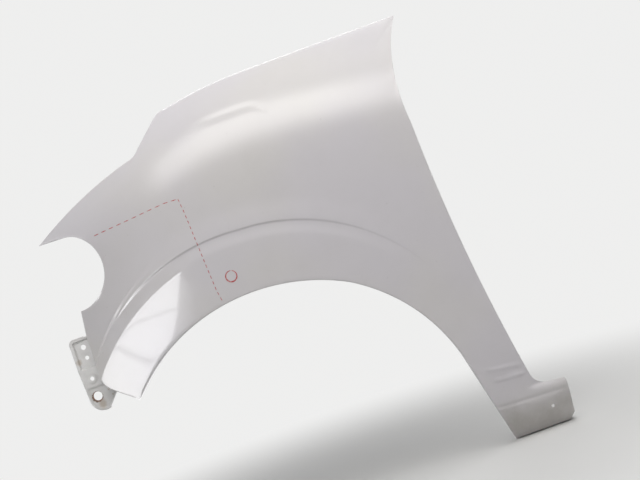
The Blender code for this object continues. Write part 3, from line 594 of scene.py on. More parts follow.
def skin_depth(x, z):
    """How far inboard the plain skin lies at (x, z): squared distances give parabolic sweeps to the
    front, to the door, up the crown and down the tuck, and above the shoulder a softened ramp."""
    front = sweep_in(-FRONT_SWEEP_START - x, FRONT_SWEEP_RADIUS)
    door = sweep_in(x - DOOR_SWEEP_START, DOOR_SWEEP_RADIUS)
    crown = sweep_in(z - CROWN_START, CROWN_RADIUS)
    tuck = sweep_in(TUCK_START - z, TUCK_RADIUS)
    over = soft_ramp(z - shoulder_height(x), SHOULDER_SOFTNESS)
    return front + door + crown + tuck + SHOULDER_SLOPE * over


def shoulder_crease(x, z, depth):
    """A short pressed line: a bell across it, faded in at its front end, that hooks down at its
    rear end along a parabola."""
    run = np.clip((x - CREASE_START) / (CREASE_END - CREASE_START), 0.0, 1.0)
    hook = np.clip((run - 1.0) / CREASE_HOOK_SHARE + 1.0, 0.0, 1.0)
    line = CREASE_HEIGHT - CREASE_HOOK * hook ** 2
    beyond = (x - CREASE_END + CREASE_END_EASE) / CREASE_END_FADE
    present = smooth(run / CREASE_FADE_SHARE) * (1.0 - smooth(beyond))
    return depth * present * np.exp(-((z - line) / CREASE_WIDTH) ** 2)


def foot_lines(x, z):
    """Straight pressed lines: a bell across each, faded in and out over the ends of its length."""
    total = 0.0
    for start, end, half_width, depth in FOOT_LINES:
        run = np.subtract(end, start)
        length = math.hypot(*run)
        along = ((x - start[0]) * run[0] + (z - start[1]) * run[1]) / length ** 2
        across = ((z - start[1]) * run[0] - (x - start[0]) * run[1]) / length
        present = smooth(along / FOOT_LINE_FADE) * smooth((1.0 - along) / FOOT_LINE_FADE)
        total = total + depth * present * np.exp(-(across / half_width) ** 2)
    return total


def foot_roll(x, z):
    """The foot's top edge leaning in along a parabola of the height above the roll's start."""
    foot_x, foot_z = fender_outline()["arch"][-1]
    slope = SILL_TOP_FALL / (SILL_LENGTH - PILLAR_FOOT)
    top = foot_z + SILL_TOP_RISE - slope * np.clip(x - foot_x - PILLAR_FOOT, 0.0, None)
    over = np.minimum(z - top + FOOT_ROLL_DEPTH, FOOT_ROLL_DEPTH)
    return smooth((x - FOOT_ROLL_START) / FOOT_ROLL_RUN) * sweep_in(over, FOOT_ROLL_RADIUS)


# The skin's grid of (x, z) points over stations along the fender and levels across it

def stations_at(fineness):
    """Station numbers along the fender, with so many parts to each of the solids' cells."""
    return np.linspace(0.0, LAST_CELL, LAST_CELL * fineness + 1)


def fine_levels():
    """Levels that stand closest together just inside the flare's crease."""
    rows = (STEP_ROWS, BUMPER_ROWS, LAMP_ROWS, NOSE_ROWS)
    breaks = np.array([STEP_AT, OUTER_AT, LAMP_AT, UNDER_NOSE_AT, LAST_ROW], dtype=float)
    outer = spaced(breaks, [count * part for count, part in zip(rows, OUTER_FINENESS)])
    return join(spaced(np.array(FLARE_BREAKS), FLARE_FINENESS), outer)


def column_ends(edges, fineness):
    """The points where each column meets the arch, the step and the outer edge."""
    cells = [count * fineness
             for count in (NOSE_CELLS, RAMP_CELLS, sum(HOOD_SPANS), sum(DOOR_SPANS), FOOT_CELLS)]

    def along(line, shares, foot):
        return join(sample(line, spaced(np.array(shares), cells)), even(foot, SILL_CELLS * fineness))

    def spans(counts):
        return [count * fineness for count in counts]

    arch = along(edges["arch"], ARCH_SHARES, edges["arch_foot"])
    step = along(edges["step"], STEP_SHARES, edges["step_foot"])
    hood = measured(edges["hood"], HOOD_PADS, (PAD_LENGTH / 2, PAD_SEAT_LENGTH / 2), spans(HOOD_SPANS))
    door = measured(edges["door"], DOOR_TABS, (TAB_WIDTH / 2 + TAB_FLARE, TAB_WIDTH / 2),
                    spans(DOOR_SPANS))
    outer = join(even(edges["nose"], cells[0]), even(edges["ramp"], cells[1]), hood, door,
                 even(edges["foot"], (FOOT_CELLS - 1) * fineness), even(edges["sill_side"], fineness),
                 even(edges["sill_end"], SILL_CELLS * fineness))
    return arch, step, outer


def relaxed(grid, rounds):
    """Evens out a grid with fixed edges until its lines are harmonic, by Winslow's average of each
    point's neighbours, weighted by the squared lengths of the grid's own two directions."""
    for _ in range(rounds):
        east, west, north, south = grid[2:, 1:-1], grid[:-2, 1:-1], grid[1:-1, 2:], grid[1:-1, :-2]
        along, up = (east - west) / 2, (north - south) / 2
        a = (up ** 2).sum(-1, keepdims=True)
        b = (along * up).sum(-1, keepdims=True)
        c = (along ** 2).sum(-1, keepdims=True)
        cross = (grid[2:, 2:] - grid[2:, :-2] - grid[:-2, 2:] + grid[:-2, :-2]) / 4
        grid[1:-1, 1:-1] = (a * (east + west) + c * (north + south) - 2 * b * cross) / (2 * (a + c))
    return grid


def resampled(grid, rows, columns):
    """A grid read at fractional row and column numbers, bilinearly."""
    def between(values, places):
        low = np.minimum(places.astype(int), len(values) - 2)
        part = (places - low).reshape((-1,) + (1,) * (values.ndim - 1))
        return values[low] * (1 - part) + values[low + 1] * part

    return between(between(grid, rows).swapaxes(0, 1), columns).swapaxes(0, 1)


def rough_plan(edges, fineness, levels):
    """Straight columns between arch, step and outer edge, bent at both ends to meet the end
    outlines: the bend fades by a power of the distance from each end."""
    stations = stations_at(fineness)
    arch, step, outer = column_ends(edges, fineness)
    inward = arch - step
    inner = step + inward / np.hypot(*inward.T)[:, None] * STEP_WIDTH
    ends = np.stack([arch, inner, step, outer], axis=1)
    place = np.interp(levels, [0, STEP_AT, OUTER_AT, LAST_ROW], [0, 1, 2, 3])
    grid = resampled(ends, np.arange(len(stations), dtype=float), place)

    parts = (("lower_front", 0, STEP_AT), ("step_end", STEP_AT, OUTER_AT), ("bumper", OUTER_AT, LAMP_AT),
             ("lamp", LAMP_AT, UNDER_NOSE_AT), ("under_nose", UNDER_NOSE_AT, LAST_ROW))
    front = join(*(sample(edges[name], (levels[(levels >= low) & (levels <= high)] - low) / (high - low))
                   for name, low, high in parts))
    bent = np.clip(1.0 - stations / HOOD_AT, 0.0, None) ** FRONT_BEND_POWER
    grid += bent[:, None, None] * (front - grid[0])
    run = np.hypot(*(grid[-1] - grid[-1][0]).T)
    heel = sample(edges["sill_bottom"], run / run[-1])
    return grid + sill_share(stations)[:, None, None] * (heel - grid[-1])


def fine_plan(edges):
    """The solids' relaxed plan, read more finely, with its edges put back on the outline."""
    coarse = rough_plan(edges, 1, np.arange(LAST_ROW + 1.0))
    outer = relaxed(coarse[:, OUTER_AT:], RELAX_ROUNDS)
    stations, levels = stations_at(FINENESS), fine_levels()
    plan = rough_plan(edges, FINENESS, levels)
    first = int(np.searchsorted(levels, OUTER_AT))
    patch = resampled(outer, stations, levels[first:] - OUTER_AT)
    for edge in (np.s_[0], np.s_[-1], np.s_[:, 0], np.s_[:, -1]):
        patch[edge] = plan[:, first:][edge]
    plan[:, first:] = relaxed(patch, FINE_RELAX_ROUNDS)
    return plan, stations, levels


def flare_lift(plan, levels, shape):
    """How far the flare stands outboard, by the distance from its crease: outside it an S-curve
    rises to the crease, narrow at the front and wide over the crest. Inside, over the crest, a short
    sharp S-curve falls back and a wider one swells out again; at the front a level band ends in a
    softened ramp that leans in to the arch. All of it fades out rearward of the crest by the angle
    from straight up."""
    border = plan[:, [int(np.searchsorted(levels, STEP_AT))]]
    away = np.hypot(*(plan - border).transpose(2, 0, 1))
    sweep = np.degrees(np.arctan2(border[..., 0], border[..., 1]))
    front = 1.0 - smooth((sweep - FLARE_FRONT_END) / (FLARE_CREST_START - FLARE_FRONT_END))
    fade = 1.0 - smooth((sweep - FLARE_FADE_START) / (FLARE_FADE_END - FLARE_FADE_START))
    ridge = shape.crest_height + front * (shape.step_height - shape.crest_height)
    outside = ridge * (1.0 - smooth(away / (FLARE_REACH + front * (STEP_WIDTH - FLARE_REACH))))
    inner = away - FLARE_FALL_WIDTH
    over_crest = shape.flare_swell * smooth(inner / FLARE_SWELL_WIDTH)
    over_crest -= shape.crease_fall * smooth(away / FLARE_FALL_WIDTH)
    lean = soft_ramp(inner - FLARE_SWELL_WIDTH, FLARE_LEAN_SOFTNESS)
    inside = ridge + (1.0 - front) * over_crest - front * shape.flare_lean * lean
    return fade * np.where(levels <= STEP_AT, inside, outside)


def skin_points(plan, stations, levels, shape):
    """The skin's outer face: the plain depth, less the flare's lift, plus the pressed lines and the
    foot's tuck, which grows by a power of the distance below the sill crease."""
    x, z = plan[..., 0], plan[..., 1]
    tuck = SILL_TUCK * sill_share(stations)[:, None] ** SILL_TUCK_POWER
    y = skin_depth(x, z) - flare_lift(plan, levels, shape) + tuck
    pressed_in = shoulder_crease(x, z, shape.crease_depth) + foot_lines(x, z) + foot_roll(x, z)
    return np.stack([x, y + pressed_in, z], axis=-1)


# Flanges, as arrays of (out, in) steps from each edge point

def outward_of(line, left):
    """Unit directions square to a line of (x, z) points, to its left or right."""
    along = np.gradient(line, axis=0)
    along /= np.hypot(*along.T)[:, None]
    outward = np.column_stack([-along[:, 1], along[:, 0]])
    return outward if left else -outward


def bend(start, radius, end, segments):
    """Steps round a circular bend from one direction to another, angles from straight out."""
    start = np.asarray(start, dtype=float)[:, None]
    side = np.sign(end - start) * np.reshape(radius, (-1, 1))
    angle = start + (end - start) * np.linspace(0.0, 1.0, segments + 1)[1:]
    return np.stack([side * (np.sin(angle) - np.sin(start)),
                     side * (np.cos(start) - np.cos(angle))], axis=-1)


def plain_flange(slope, length, radius):
    """A bend to straight inboard and a flat of the given lengths, in two strips."""
    turned = bend(slope, radius, math.pi / 2, BEND_SEGMENTS)
    flat = np.zeros((len(slope), len(FLAT_SHARES), 2))
    flat[:, :, 1] = np.asarray(length)[:, None] * np.array(FLAT_SHARES)
    return np.concatenate([turned, turned[:, -1:] + flat], axis=1)


def hood_flange(slope, drop, share):
    """Over the edge by a bend and down a leaning wall by the given drops, then flat inboard, all
    of it narrower where the share is less than 1."""
    lean = math.radians(HOOD_WALL_LEAN)
    count = len(slope)
    over = bend(slope, HOOD_BEND_RADIUS * share, math.pi - lean, HOOD_BEND_SEGMENTS)
    back = bend(np.full(count, math.pi - lean), BEND_RADIUS * share, math.pi / 2, HOOD_FOOT_SEGMENTS)
    fall = drop - HOOD_BEND_RADIUS * share * (1 - np.sin(slope)) + over[:, -1, 0] + back[:, -1, 0]
    down = (fall / math.cos(lean))[:, None, None] * np.array([-math.cos(lean), math.sin(lean)])
    wall = over[:, -1:] + down * np.array(FLAT_SHARES)[None, :, None]
    turned = wall[:, -1:] + back
    flat = np.zeros((count, len(HOOD_FLAT_SHARES), 2))
    flat[:, :, 1] = HOOD_FLANGE * share[:, None] * np.array(HOOD_FLAT_SHARES)
    return np.concatenate([over, wall, turned, turned[:, -1:] + flat], axis=1)


def draw_in(skin, places, inside, radius, outward, weight):
    """Moves edge points in to where their bend begins, and the rows inside them with them, less and
    less with distance. Returns each point's slope, from straight out to inboard."""
    edge = skin[places].copy()
    inner = skin[places[0] + inside[0], places[1] + inside[1]]
    run = ((edge - inner)[:, [0, 2]] * outward).sum(axis=1)
    slope = np.arctan2(edge[:, 1] - inner[:, 1], run)
    shift = weight * radius * (1.0 - np.sin(slope))
    push = np.column_stack([outward[:, 0], np.tan(slope), outward[:, 1]]) * shift[:, None]
    for depth in range(DRAWN_ROWS):
        spots = places[0] + depth * inside[0], places[1] + depth * inside[1]
        away = np.sqrt(((skin[spots] - edge) ** 2).sum(axis=1, keepdims=True))
        skin[spots] -= push * np.clip(1.0 - away / (DRAWN_REACH * radius), 0.0, 1.0)
    return slope


def hood_levels(stations, heights):
    """Height of the hood flange by station: level along each pad, even slopes between."""
    known, levels = [float(HOOD_AT)], [heights[0] - HOOD_WALL]
    for first in PAD_STATIONS:
        middle = np.interp([first + 1, first + 2], stations, heights).mean() - HOOD_WALL
        known.extend((first, first + 3))
        levels.extend((middle, middle))
    known.append(stations[-1])
    levels.append(heights[-1] - HOOD_WALL)
    return np.interp(stations, known, levels)


def tab_lengths(stations):
    """How much longer the door flange is by station: a tab rises at each tab's station."""
    return sum(np.interp(stations, [tab - 1, tab, tab + 1, tab + 2], [0.0, TAB_LENGTH, TAB_LENGTH, 0.0])
               for tab in TAB_STATIONS)


class Sheet:
    """Points and quads of a pressed sheet's outer face: one grid, and strips beside its edges."""

    def __init__(self, grid):
        self.index = np.arange(grid[..., 0].size).reshape(grid.shape[:2])
        self.points = [grid.reshape(-1, 3)]
        self.quads = [self.cells(self.index, True)]
        self.count = self.index.size

    @staticmethod
    def cells(rows, left):
        """The quads of a grid of point numbers, turned over where it runs the other way."""
        quads = np.stack([rows[:-1, :-1], rows[1:, :-1], rows[1:, 1:], rows[:-1, 1:]], axis=-1)
        return (quads if left else quads[..., ::-1]).reshape(-1, 4)

    def strip(self, ring, ring_points, outward, profile, left):
        """Adds a flange: each profile step goes out along its outward direction and in along Y."""
        out, inner = profile[..., 0], profile[..., 1]
        rise = np.stack([out * outward[:, None, 0], inner, out * outward[:, None, 1]], axis=-1)
        fresh = ring_points[:, None] + rise
        numbers = self.count + np.arange(fresh[..., 0].size).reshape(fresh.shape[:2])
        self.points.append(fresh.reshape(-1, 3))
        self.quads.append(self.cells(np.column_stack([ring, numbers]), left))
        self.count += numbers.size
        return fresh

    def arrays(self):
        """All points and all quads."""
        return np.concatenate(self.points), np.concatenate(self.quads)


def fender_sheet(shape):
    """The whole outer face with its turned edges, and the panel's holes."""
    plan, stations, levels = fine_plan(fender_outline())
    skin = skin_points(plan, stations, levels, shape)
    last, top = len(stations) - 1, len(levels) - 1
    sides = {"arch": ("level", 0, (0, 1), False), "front": ("station", 0, (1, 0), True),
             "upper": ("level", top, (0, -1), True), "sill": ("station", last, (-1, 0), False)}
    flanges = (
        ("arch", "arch", 0, LAST_CELL, ARCH_FLANGE), ("front", "front", 0, LAMP_AT, FRONT_FLANGE),
        ("lamp", "front", LAMP_AT, LAST_ROW, LAMP_FLANGE), ("nose", "upper", 0, HOOD_AT, NOSE_FLANGE),
        ("hood", "upper", HOOD_AT - 1, DOOR_AT, HOOD_FLANGE),
        ("door", "upper", DOOR_AT, FOOT_AT, DOOR_FLANGE),
        ("sill_end", "upper", SILL_AT - 1, LAST_CELL, SILL_END_FLANGE),
        ("sill", "sill", 0, LAST_ROW, SILL_FLANGE),
    )
    turned = []
    for name, side, first, final, length in flanges:
        fixed, number, inside, left = sides[side]
        run = stations if fixed == "level" else levels
        covered = np.flatnonzero((run >= first) & (run <= final))
        constant = np.full(len(covered), number)
        places = (covered, constant) if fixed == "level" else (constant, covered)
        outward = outward_of(plan[places], left)
        if name == "hood":
            outward = np.tile([0.0, 1.0], (len(covered), 1))
        radius = HOOD_BEND_RADIUS if name == "hood" else BEND_RADIUS
        weight = np.interp(run[covered], (first, first + 1, final - 1, final), (0.0, 1.0, 1.0, 0.0))
        slope = draw_in(skin, places, inside, radius, outward, weight)
        kept = weight > SMALLEST_BEND
        here = places[0][kept], places[1][kept]
        turned.append((name, here, run[covered][kept], outward[kept], slope[kept], weight[kept], left,
                       length))

    sheet = Sheet(skin)
    flats = {}
    for name, here, run, outward, slope, weight, left, length in turned:
        if name == "hood":
            heights = plan[here][:, 1]
            profile = hood_flange(slope, (heights - hood_levels(run, heights)) * weight, weight)
        else:
            lengths = length * weight + (tab_lengths(run) if name == "door" else 0.0)
            profile = plain_flange(slope, lengths, BEND_RADIUS * weight)
        fresh = sheet.strip(sheet.index[here], skin[here], outward, profile, left)
        strips = len(HOOD_FLAT_SHARES if name == "hood" else FLAT_SHARES)
        flats[name] = (run, fresh[:, -1 - strips])
    return sheet, fender_holes(skin, flats)


def hole_on(flat, place, depth, radius, axis=None):
    """A hole square through a flange's flat, at a fractional station and so far inboard."""
    run, brim = flat
    near = np.array([[np.interp(spot, run, brim[:, k]) for k in range(3)]
                     for spot in (place - 0.5, place, place + 0.5)])
    along = near[2] - near[0]
    square = (-along[2], 0.0, along[0]) if axis is None else axis
    return near[1] + np.array([0.0, depth, 0.0]), square, radius


def fender_holes(skin, flats):
    """Centres, axes and radii of every hole in the panel."""
    up = (0.0, 0.0, 1.0)
    holes = [hole_on(flats["hood"], pad + 0.5, HOOD_FLANGE / 2, PAD_HOLE_RADIUS, up)
             for pad in PAD_STATIONS]
    holes += [hole_on(flats["door"], tab + 0.5, DOOR_FLANGE + TAB_LENGTH / 2, TAB_HOLE_RADIUS)
              for tab in TAB_STATIONS]
    run, brim = flats["arch"]
    sweeps = np.degrees(np.arctan2(brim[:, 0], brim[:, 2]))
    holes += [hole_on(flats["arch"], float(np.interp(sweep, sweeps, run)), ARCH_FLANGE / 2,
                      CLIP_HOLE_RADIUS) for sweep in CLIP_SWEEPS]
    corner = fender_outline()["sill_end"][0]
    run, brim = flats["sill"]
    bolt = float(np.interp(corner[0] - SILL_BOLT_SETBACK, brim[:, 0], run))
    holes.append(hole_on(flats["sill"], bolt, SILL_FLANGE / 2, SILL_BOLT_RADIUS))
    screw = corner - point(SILL_HOLE_SETBACK, SILL_HOLE_DROP)
    nearest = np.hypot(skin[..., 0] - screw[0], skin[..., 2] - screw[1]).argmin()
    holes.append(((screw[0], skin[..., 1].flat[nearest], screw[1]), (0.0, 1.0, 0.0), SILL_HOLE_RADIUS))
    return holes


# The front bracket

def bracket_lines():
    """The plate's left and right edges as rising (x, z) lines, its whole outline, and the heights
    at which its ledge, weld tab and free lobe end."""
    line_x, top = fender_outline()["bumper"][1]
    rear = line_x + SHEET + WELD_GAP - BRACKET_BEND_RADIUS
    outer = line_x - BRACKET_REACH
    inset = BRACKET_BEND_RADIUS
    corner = point(outer + BRACKET_CORNER, top - BRACKET_CORNER)
    lobe = point(outer + BRACKET_TAPER, top - BRACKET_HEIGHT) + BRACKET_LOBE_RADIUS
    heel = point(rear + BRACKET_HEEL_REACH, top - BRACKET_HEEL_DROP)
    ledge = top - BRACKET_RECESS_DROP
    low = round_from(lobe, BRACKET_LOBE_RADIUS - inset, 270.0, 180.0, BRACKET_LOBE_CELLS)
    high = round_from(corner, BRACKET_CORNER - inset, 180.0, 90.0, BRACKET_CORNER_CELLS)
    left = np.concatenate([low, [point(outer + inset, ledge)], high])
    turn = round_from(lobe, BRACKET_LOBE_RADIUS - inset, 270.0, BRACKET_LOBE_END, BRACKET_TURN_CELLS)
    tab_foot = point(rear, top - BRACKET_TAB_DROP)
    right = join(turn, rounded([(turn[-1], 0.0), (heel, BRACKET_HEEL_RADIUS), (tab_foot, 0.0)]),
                 np.array([tab_foot, point(rear, top)]))
    outline = np.concatenate([left, right[::-1]])
    beyond = point(rear + BRACKET_REACH, top)
    marks = {"outer": outer, "rear": rear, "top": top, "ledge": ledge, "lobe_end": turn[-1][1],
             "tab_foot": tab_foot[1], "free_edge": np.concatenate([left, [beyond]])}
    return left, right, outline, marks


def from_line(places, line):
    """Each place's least distance to a polyline."""
    start, step = line[:-1], np.diff(line, axis=0)
    length = np.maximum((step ** 2).sum(axis=1), SMALLEST_SQUARE)
    offset = places[..., None, :] - start
    share = np.clip((offset * step).sum(axis=-1) / length, 0.0, 1.0)
    return np.sqrt(((offset - share[..., None] * step) ** 2).sum(axis=-1)).min(axis=-1)


def bracket_press(plan, outline, marks):
    """Depth pressed into the plate: S-curves of the distance from its outline and of the height
    give the upper pocket and the lobe's shallow dish, less a low boss round the third hole."""
    z = plan[..., 1]
    rim = from_line(plan, outline)
    free = from_line(plan, marks["free_edge"])
    pocket = smooth((free - BRACKET_RIM) / BRACKET_WALL) * smooth((z - marks["ledge"]) / BRACKET_WALL)
    lobe_top = marks["top"] - BRACKET_LOBE_DROP
    dish = smooth((rim - 0.5 * BRACKET_RIM) / BRACKET_WALL) * smooth((lobe_top - z) / (2 * BRACKET_WALL))
    across, drop, _ = BRACKET_HOLES[2]
    away = np.hypot(plan[..., 0] - marks["outer"] - across, z - marks["top"] + drop)
    boss = 1.0 - smooth((away - BRACKET_BOSS_RADIUS) / BRACKET_WALL)
    return BRACKET_RECESS * pocket + BRACKET_LOBE_RECESS * dish - BRACKET_BOSS * boss


def bracket_plane():
    """The depth of the plate's outer face, set back behind the front edge's flange."""
    return float(skin_depth(*fender_outline()["bumper"][1])) + FRONT_FLANGE + BRACKET_SETBACK


def bracket_sheet():
    """The plate as rows of points between its two edges, the rows closer together at its round
    ends, with its free edge turned inboard and its rear edge turned outboard into a weld tab."""
    left, right, outline, marks = bracket_lines()
    rows, columns = BRACKET_ROWS, BRACKET_COLUMNS
    bottom, top = left[0, 1] + BRACKET_TIP_GAP, left[-1, 1]
    plain = np.linspace(0.0, 1.0, rows + 1)
    closer = (1.0 - np.cos(math.pi * plain)) / 2
    z = bottom + (top - bottom) * (BRACKET_END_SHARE * closer + (1.0 - BRACKET_END_SHARE) * plain)
    low = np.interp(z, left[:, 1], left[:, 0])
    high = np.interp(z, right[:, 1], right[:, 0])
    s = np.linspace(0.0, 1.0, columns + 1)[:, None]
    plan = np.stack([low * (1 - s) + high * s, np.broadcast_to(z, (columns + 1, rows + 1))], axis=-1)
    plane = bracket_plane()
    depth = plane + bracket_press(plan, outline, marks)
    sheet = Sheet(np.stack([plan[..., 0], depth, plan[..., 1]], axis=-1))
    points = sheet.points[0].reshape(columns + 1, rows + 1, 3)

    top_run = np.flatnonzero(plan[:, -1, 0] < marks["rear"] - BRACKET_NOTCH)[::-1]
    foot_run = np.flatnonzero(z <= marks["lobe_end"])[1:]
    ring = (np.concatenate([top_run, np.zeros(rows - 1, int), np.arange(columns + 1),
                            np.full(len(foot_run), columns)]),
            np.concatenate([np.full(len(top_run), rows), np.arange(rows - 1, 0, -1),
                            np.zeros(columns + 1, int), foot_run]))
    outward = outward_of(plan[ring], False)
    profile = plain_flange(np.zeros(len(outward)), np.full(len(outward), BRACKET_EDGE_FLANGE),
                           BRACKET_BEND_RADIUS)
    sheet.strip(sheet.index[ring], points[ring], outward, profile, False)

    tab_rows = np.flatnonzero((z >= marks["tab_foot"]) & (z <= marks["top"] - BRACKET_NOTCH))
    turned = bend(np.zeros(len(tab_rows)), BRACKET_BEND_RADIUS, -math.pi / 2, BEND_SEGMENTS)
    flat = turned[:, -1:].copy()
    flat[:, 0, 1] = plane - depth[-1, tab_rows] - BRACKET_BEND_RADIUS - BRACKET_TAB_LENGTH
    place = np.full(len(tab_rows), columns), tab_rows
    sheet.strip(sheet.index[place], points[place], np.tile([1.0, 0.0], (len(tab_rows), 1)),
                np.concatenate([turned, flat], axis=1), False)
    holes = [((marks["outer"] + across, plane, marks["top"] - drop), (0.0, 1.0, 0.0), radius)
             for across, drop, radius in BRACKET_HOLES]
    return sheet, holes


# Meshes

def add_object(name, data):
    """An object in the scene, at the origin and unturned."""
    thing = bpy.data.objects.new(name, data)
    bpy.context.scene.collection.objects.link(thing)
    return thing


def add_mesh(name, points, quads):
    """An object whose mesh has these points and quads."""
    mesh = bpy.data.meshes.new(name)
    mesh.from_pydata(points.tolist(), [], quads.tolist())
    mesh.update()
    return add_object(name, mesh)


def cutters(holes, shift):
    """Round cutters: two rings of points each, a circle carried along its axis."""
    angle = np.linspace(0.0, 2 * math.pi, HOLE_SIDES, endpoint=False)
    points, faces = [], []
    for centre, axis, radius in holes:
        turn = np.array(Vector(axis).normalized().to_track_quat("Z", "Y").to_matrix())
        circle = np.column_stack([around(0.0, radius, angle), np.zeros(HOLE_SIDES)])
        for end in (-HOLE_REACH / 2, HOLE_REACH / 2):
            points.append((circle + [0.0, 0.0, end]) @ turn.T + np.asarray(centre) + shift)
        base = 2 * HOLE_SIDES * (len(points) // 2 - 1)
        low = base + np.arange(HOLE_SIDES)
        after = np.roll(low, -1)
        faces += np.column_stack([low, after, after + HOLE_SIDES, low + HOLE_SIDES]).tolist()
        faces += [low[::-1].tolist(), (low + HOLE_SIDES).tolist()]
    mesh = bpy.data.meshes.new("hole_cutters")
    mesh.from_pydata(np.concatenate(points).tolist(), [], faces)
    return add_object("hole_cutters", mesh)


def settle(thing):
    """Puts what its modifiers give into an object's own mesh."""
    bpy.context.view_layer.update()
    done = thing.evaluated_get(bpy.context.evaluated_depsgraph_get())
    mesh = bpy.data.meshes.new_from_object(done)
    thing.modifiers.clear()
    mesh.name = thing.name
    thing.data = mesh
    return thing


def pressed(name, sheet, thickness, holes, shift, material):
    """A sheet thickened inward from its outer face, and pierced."""
    points, quads = sheet.arrays()
    thing = add_mesh(name, points + shift, quads)
    wall = thing.modifiers.new("Sheet", "SOLIDIFY")
    wall.thickness = thickness
    wall.offset = -1.0
    wall.use_even_offset = True
    wall.use_quality_normals = True
    cutter = cutters(holes, shift)
    pierce = thing.modifiers.new("Holes", "BOOLEAN")
    pierce.operation = "DIFFERENCE"
    pierce.object = cutter
    settle(thing)
    bpy.data.objects.remove(cutter)
    thing.data.shade_smooth()
    thing.data.set_sharp_from_angle(angle=math.radians(SHARP_ANGLE))
    thing.data.materials.clear()
    thing.data.materials.append(material)
    return thing


def layout_shift():
    """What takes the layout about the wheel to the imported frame: the bracket's outermost edge, its
    top and the inner end of its turned edge, in the one and in the other."""
    low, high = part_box("front_bracket")
    line_x, top = fender_outline()["bumper"][1]
    depth = bracket_plane() + BRACKET_BEND_RADIUS + BRACKET_EDGE_FLANGE
    return np.array([low[0], high[1], high[2]]) - np.array([line_x - BRACKET_REACH, depth, top])


# Materials

class Graph:
    """Short calls for a tree's shader nodes: a socket given as a value is linked."""

    def __init__(self, tree):
        self.tree = tree
        self.place = 0

    def add(self, kind, values=(), **settings):
        """A node of this kind, with its sockets' values and its own settings."""
        node = self.tree.nodes.new("ShaderNode" + kind)
        node.location = (-220 * (self.place % 9), -260 * (self.place // 9))
        self.place += 1
        for key, value in settings.items():
            setattr(node, key, value)
        return self.fill(node, dict(values))

    def fill(self, node, values):
        """Sets or links a node's sockets."""
        for key, value in values.items():
            if isinstance(value, bpy.types.NodeSocket):
                self.tree.links.new(value, node.inputs[key])
            else:
                node.inputs[key].default_value = value
        return node

    def spot(self):
        """The shaded place, in the piece's own coordinates."""
        return self.add("TexCoord").outputs["Object"]

    def noise(self, scale, detail=3.0, roughness=0.5, stretch=None):
        """Noise from 0 to 1 over the piece, drawn out where stretch is given."""
        spot = self.spot()
        if stretch is not None:
            spot = self.add("Mapping", {"Vector": spot, "Scale": stretch}).outputs[0]
        return self.add("TexNoise", {"Vector": spot, "Scale": scale, "Detail": detail,
                                     "Roughness": roughness}).outputs[0]

    def between(self, value, low, high, start=0.0, end=1.0):
        """An S-curve of a value, from start at low to end at high."""
        return self.add("MapRange", {"Value": value, "From Min": low, "From Max": high,
                                     "To Min": start, "To Max": end},
                        interpolation_type="SMOOTHSTEP").outputs[0]

    def math(self, operation, first, second=0.0):
        return self.add("Math", {0: first, 1: second}, operation=operation).outputs[0]

    def times(self, first, second):
        return self.math("MULTIPLY", first, second)

    def plus(self, first, second):
        return self.math("ADD", first, second)

    def apart(self, first, second):
        """The distance between two values."""
        return self.math("ABSOLUTE", self.math("SUBTRACT", first, second))

    def mix(self, factor, first, second):
        return self.add("Mix", {0: factor, 6: first, 7: second}, data_type="RGBA").outputs[2]

    def seen(self):
        """1 on what the camera sees straight, mirrored or through glass, else 0."""
        rays = self.add("LightPath").outputs
        plain = self.math("MAXIMUM", rays["Is Camera Ray"], rays["Is Glossy Ray"])
        return self.math("MAXIMUM", plain, rays["Is Transmission Ray"])

    def blend(self, factor, first, second):
        """A mix of two shaders."""
        return self.add("MixShader", {0: factor, 1: first, 2: second}).outputs[0]

    def surface(self, kind, shader):
        """Ends the tree in an output of this kind."""
        self.add(kind, {"Surface": shader})

    def away_from(self, centre, stretch=(1.0, 1.0, 1.0)):
        """Distance from a place, measured along stretched axes."""
        moved = self.add("VectorMath", {0: self.spot(), 1: tuple(-np.array(centre))},
                         operation="ADD").outputs[0]
        scaled = self.add("VectorMath", {0: moved, 1: stretch}, operation="MULTIPLY").outputs[0]
        return self.add("VectorMath", {0: scaled}, operation="LENGTH").outputs["Value"]

    def part(self, vector, axis):
        """One number of a vector: 0, 1 or 2."""
        return self.add("SeparateXYZ", {0: vector}).outputs[axis]


def new_material(name):
    """A material with its graph and its shader."""
    material = bpy.data.materials.new(name)
    material.use_nodes = True
    return material, Graph(material.node_tree), material.node_tree.nodes["Principled BSDF"]


def colour(values):
    """A setting's colour with full opacity."""
    return (*values[:3], 1.0)


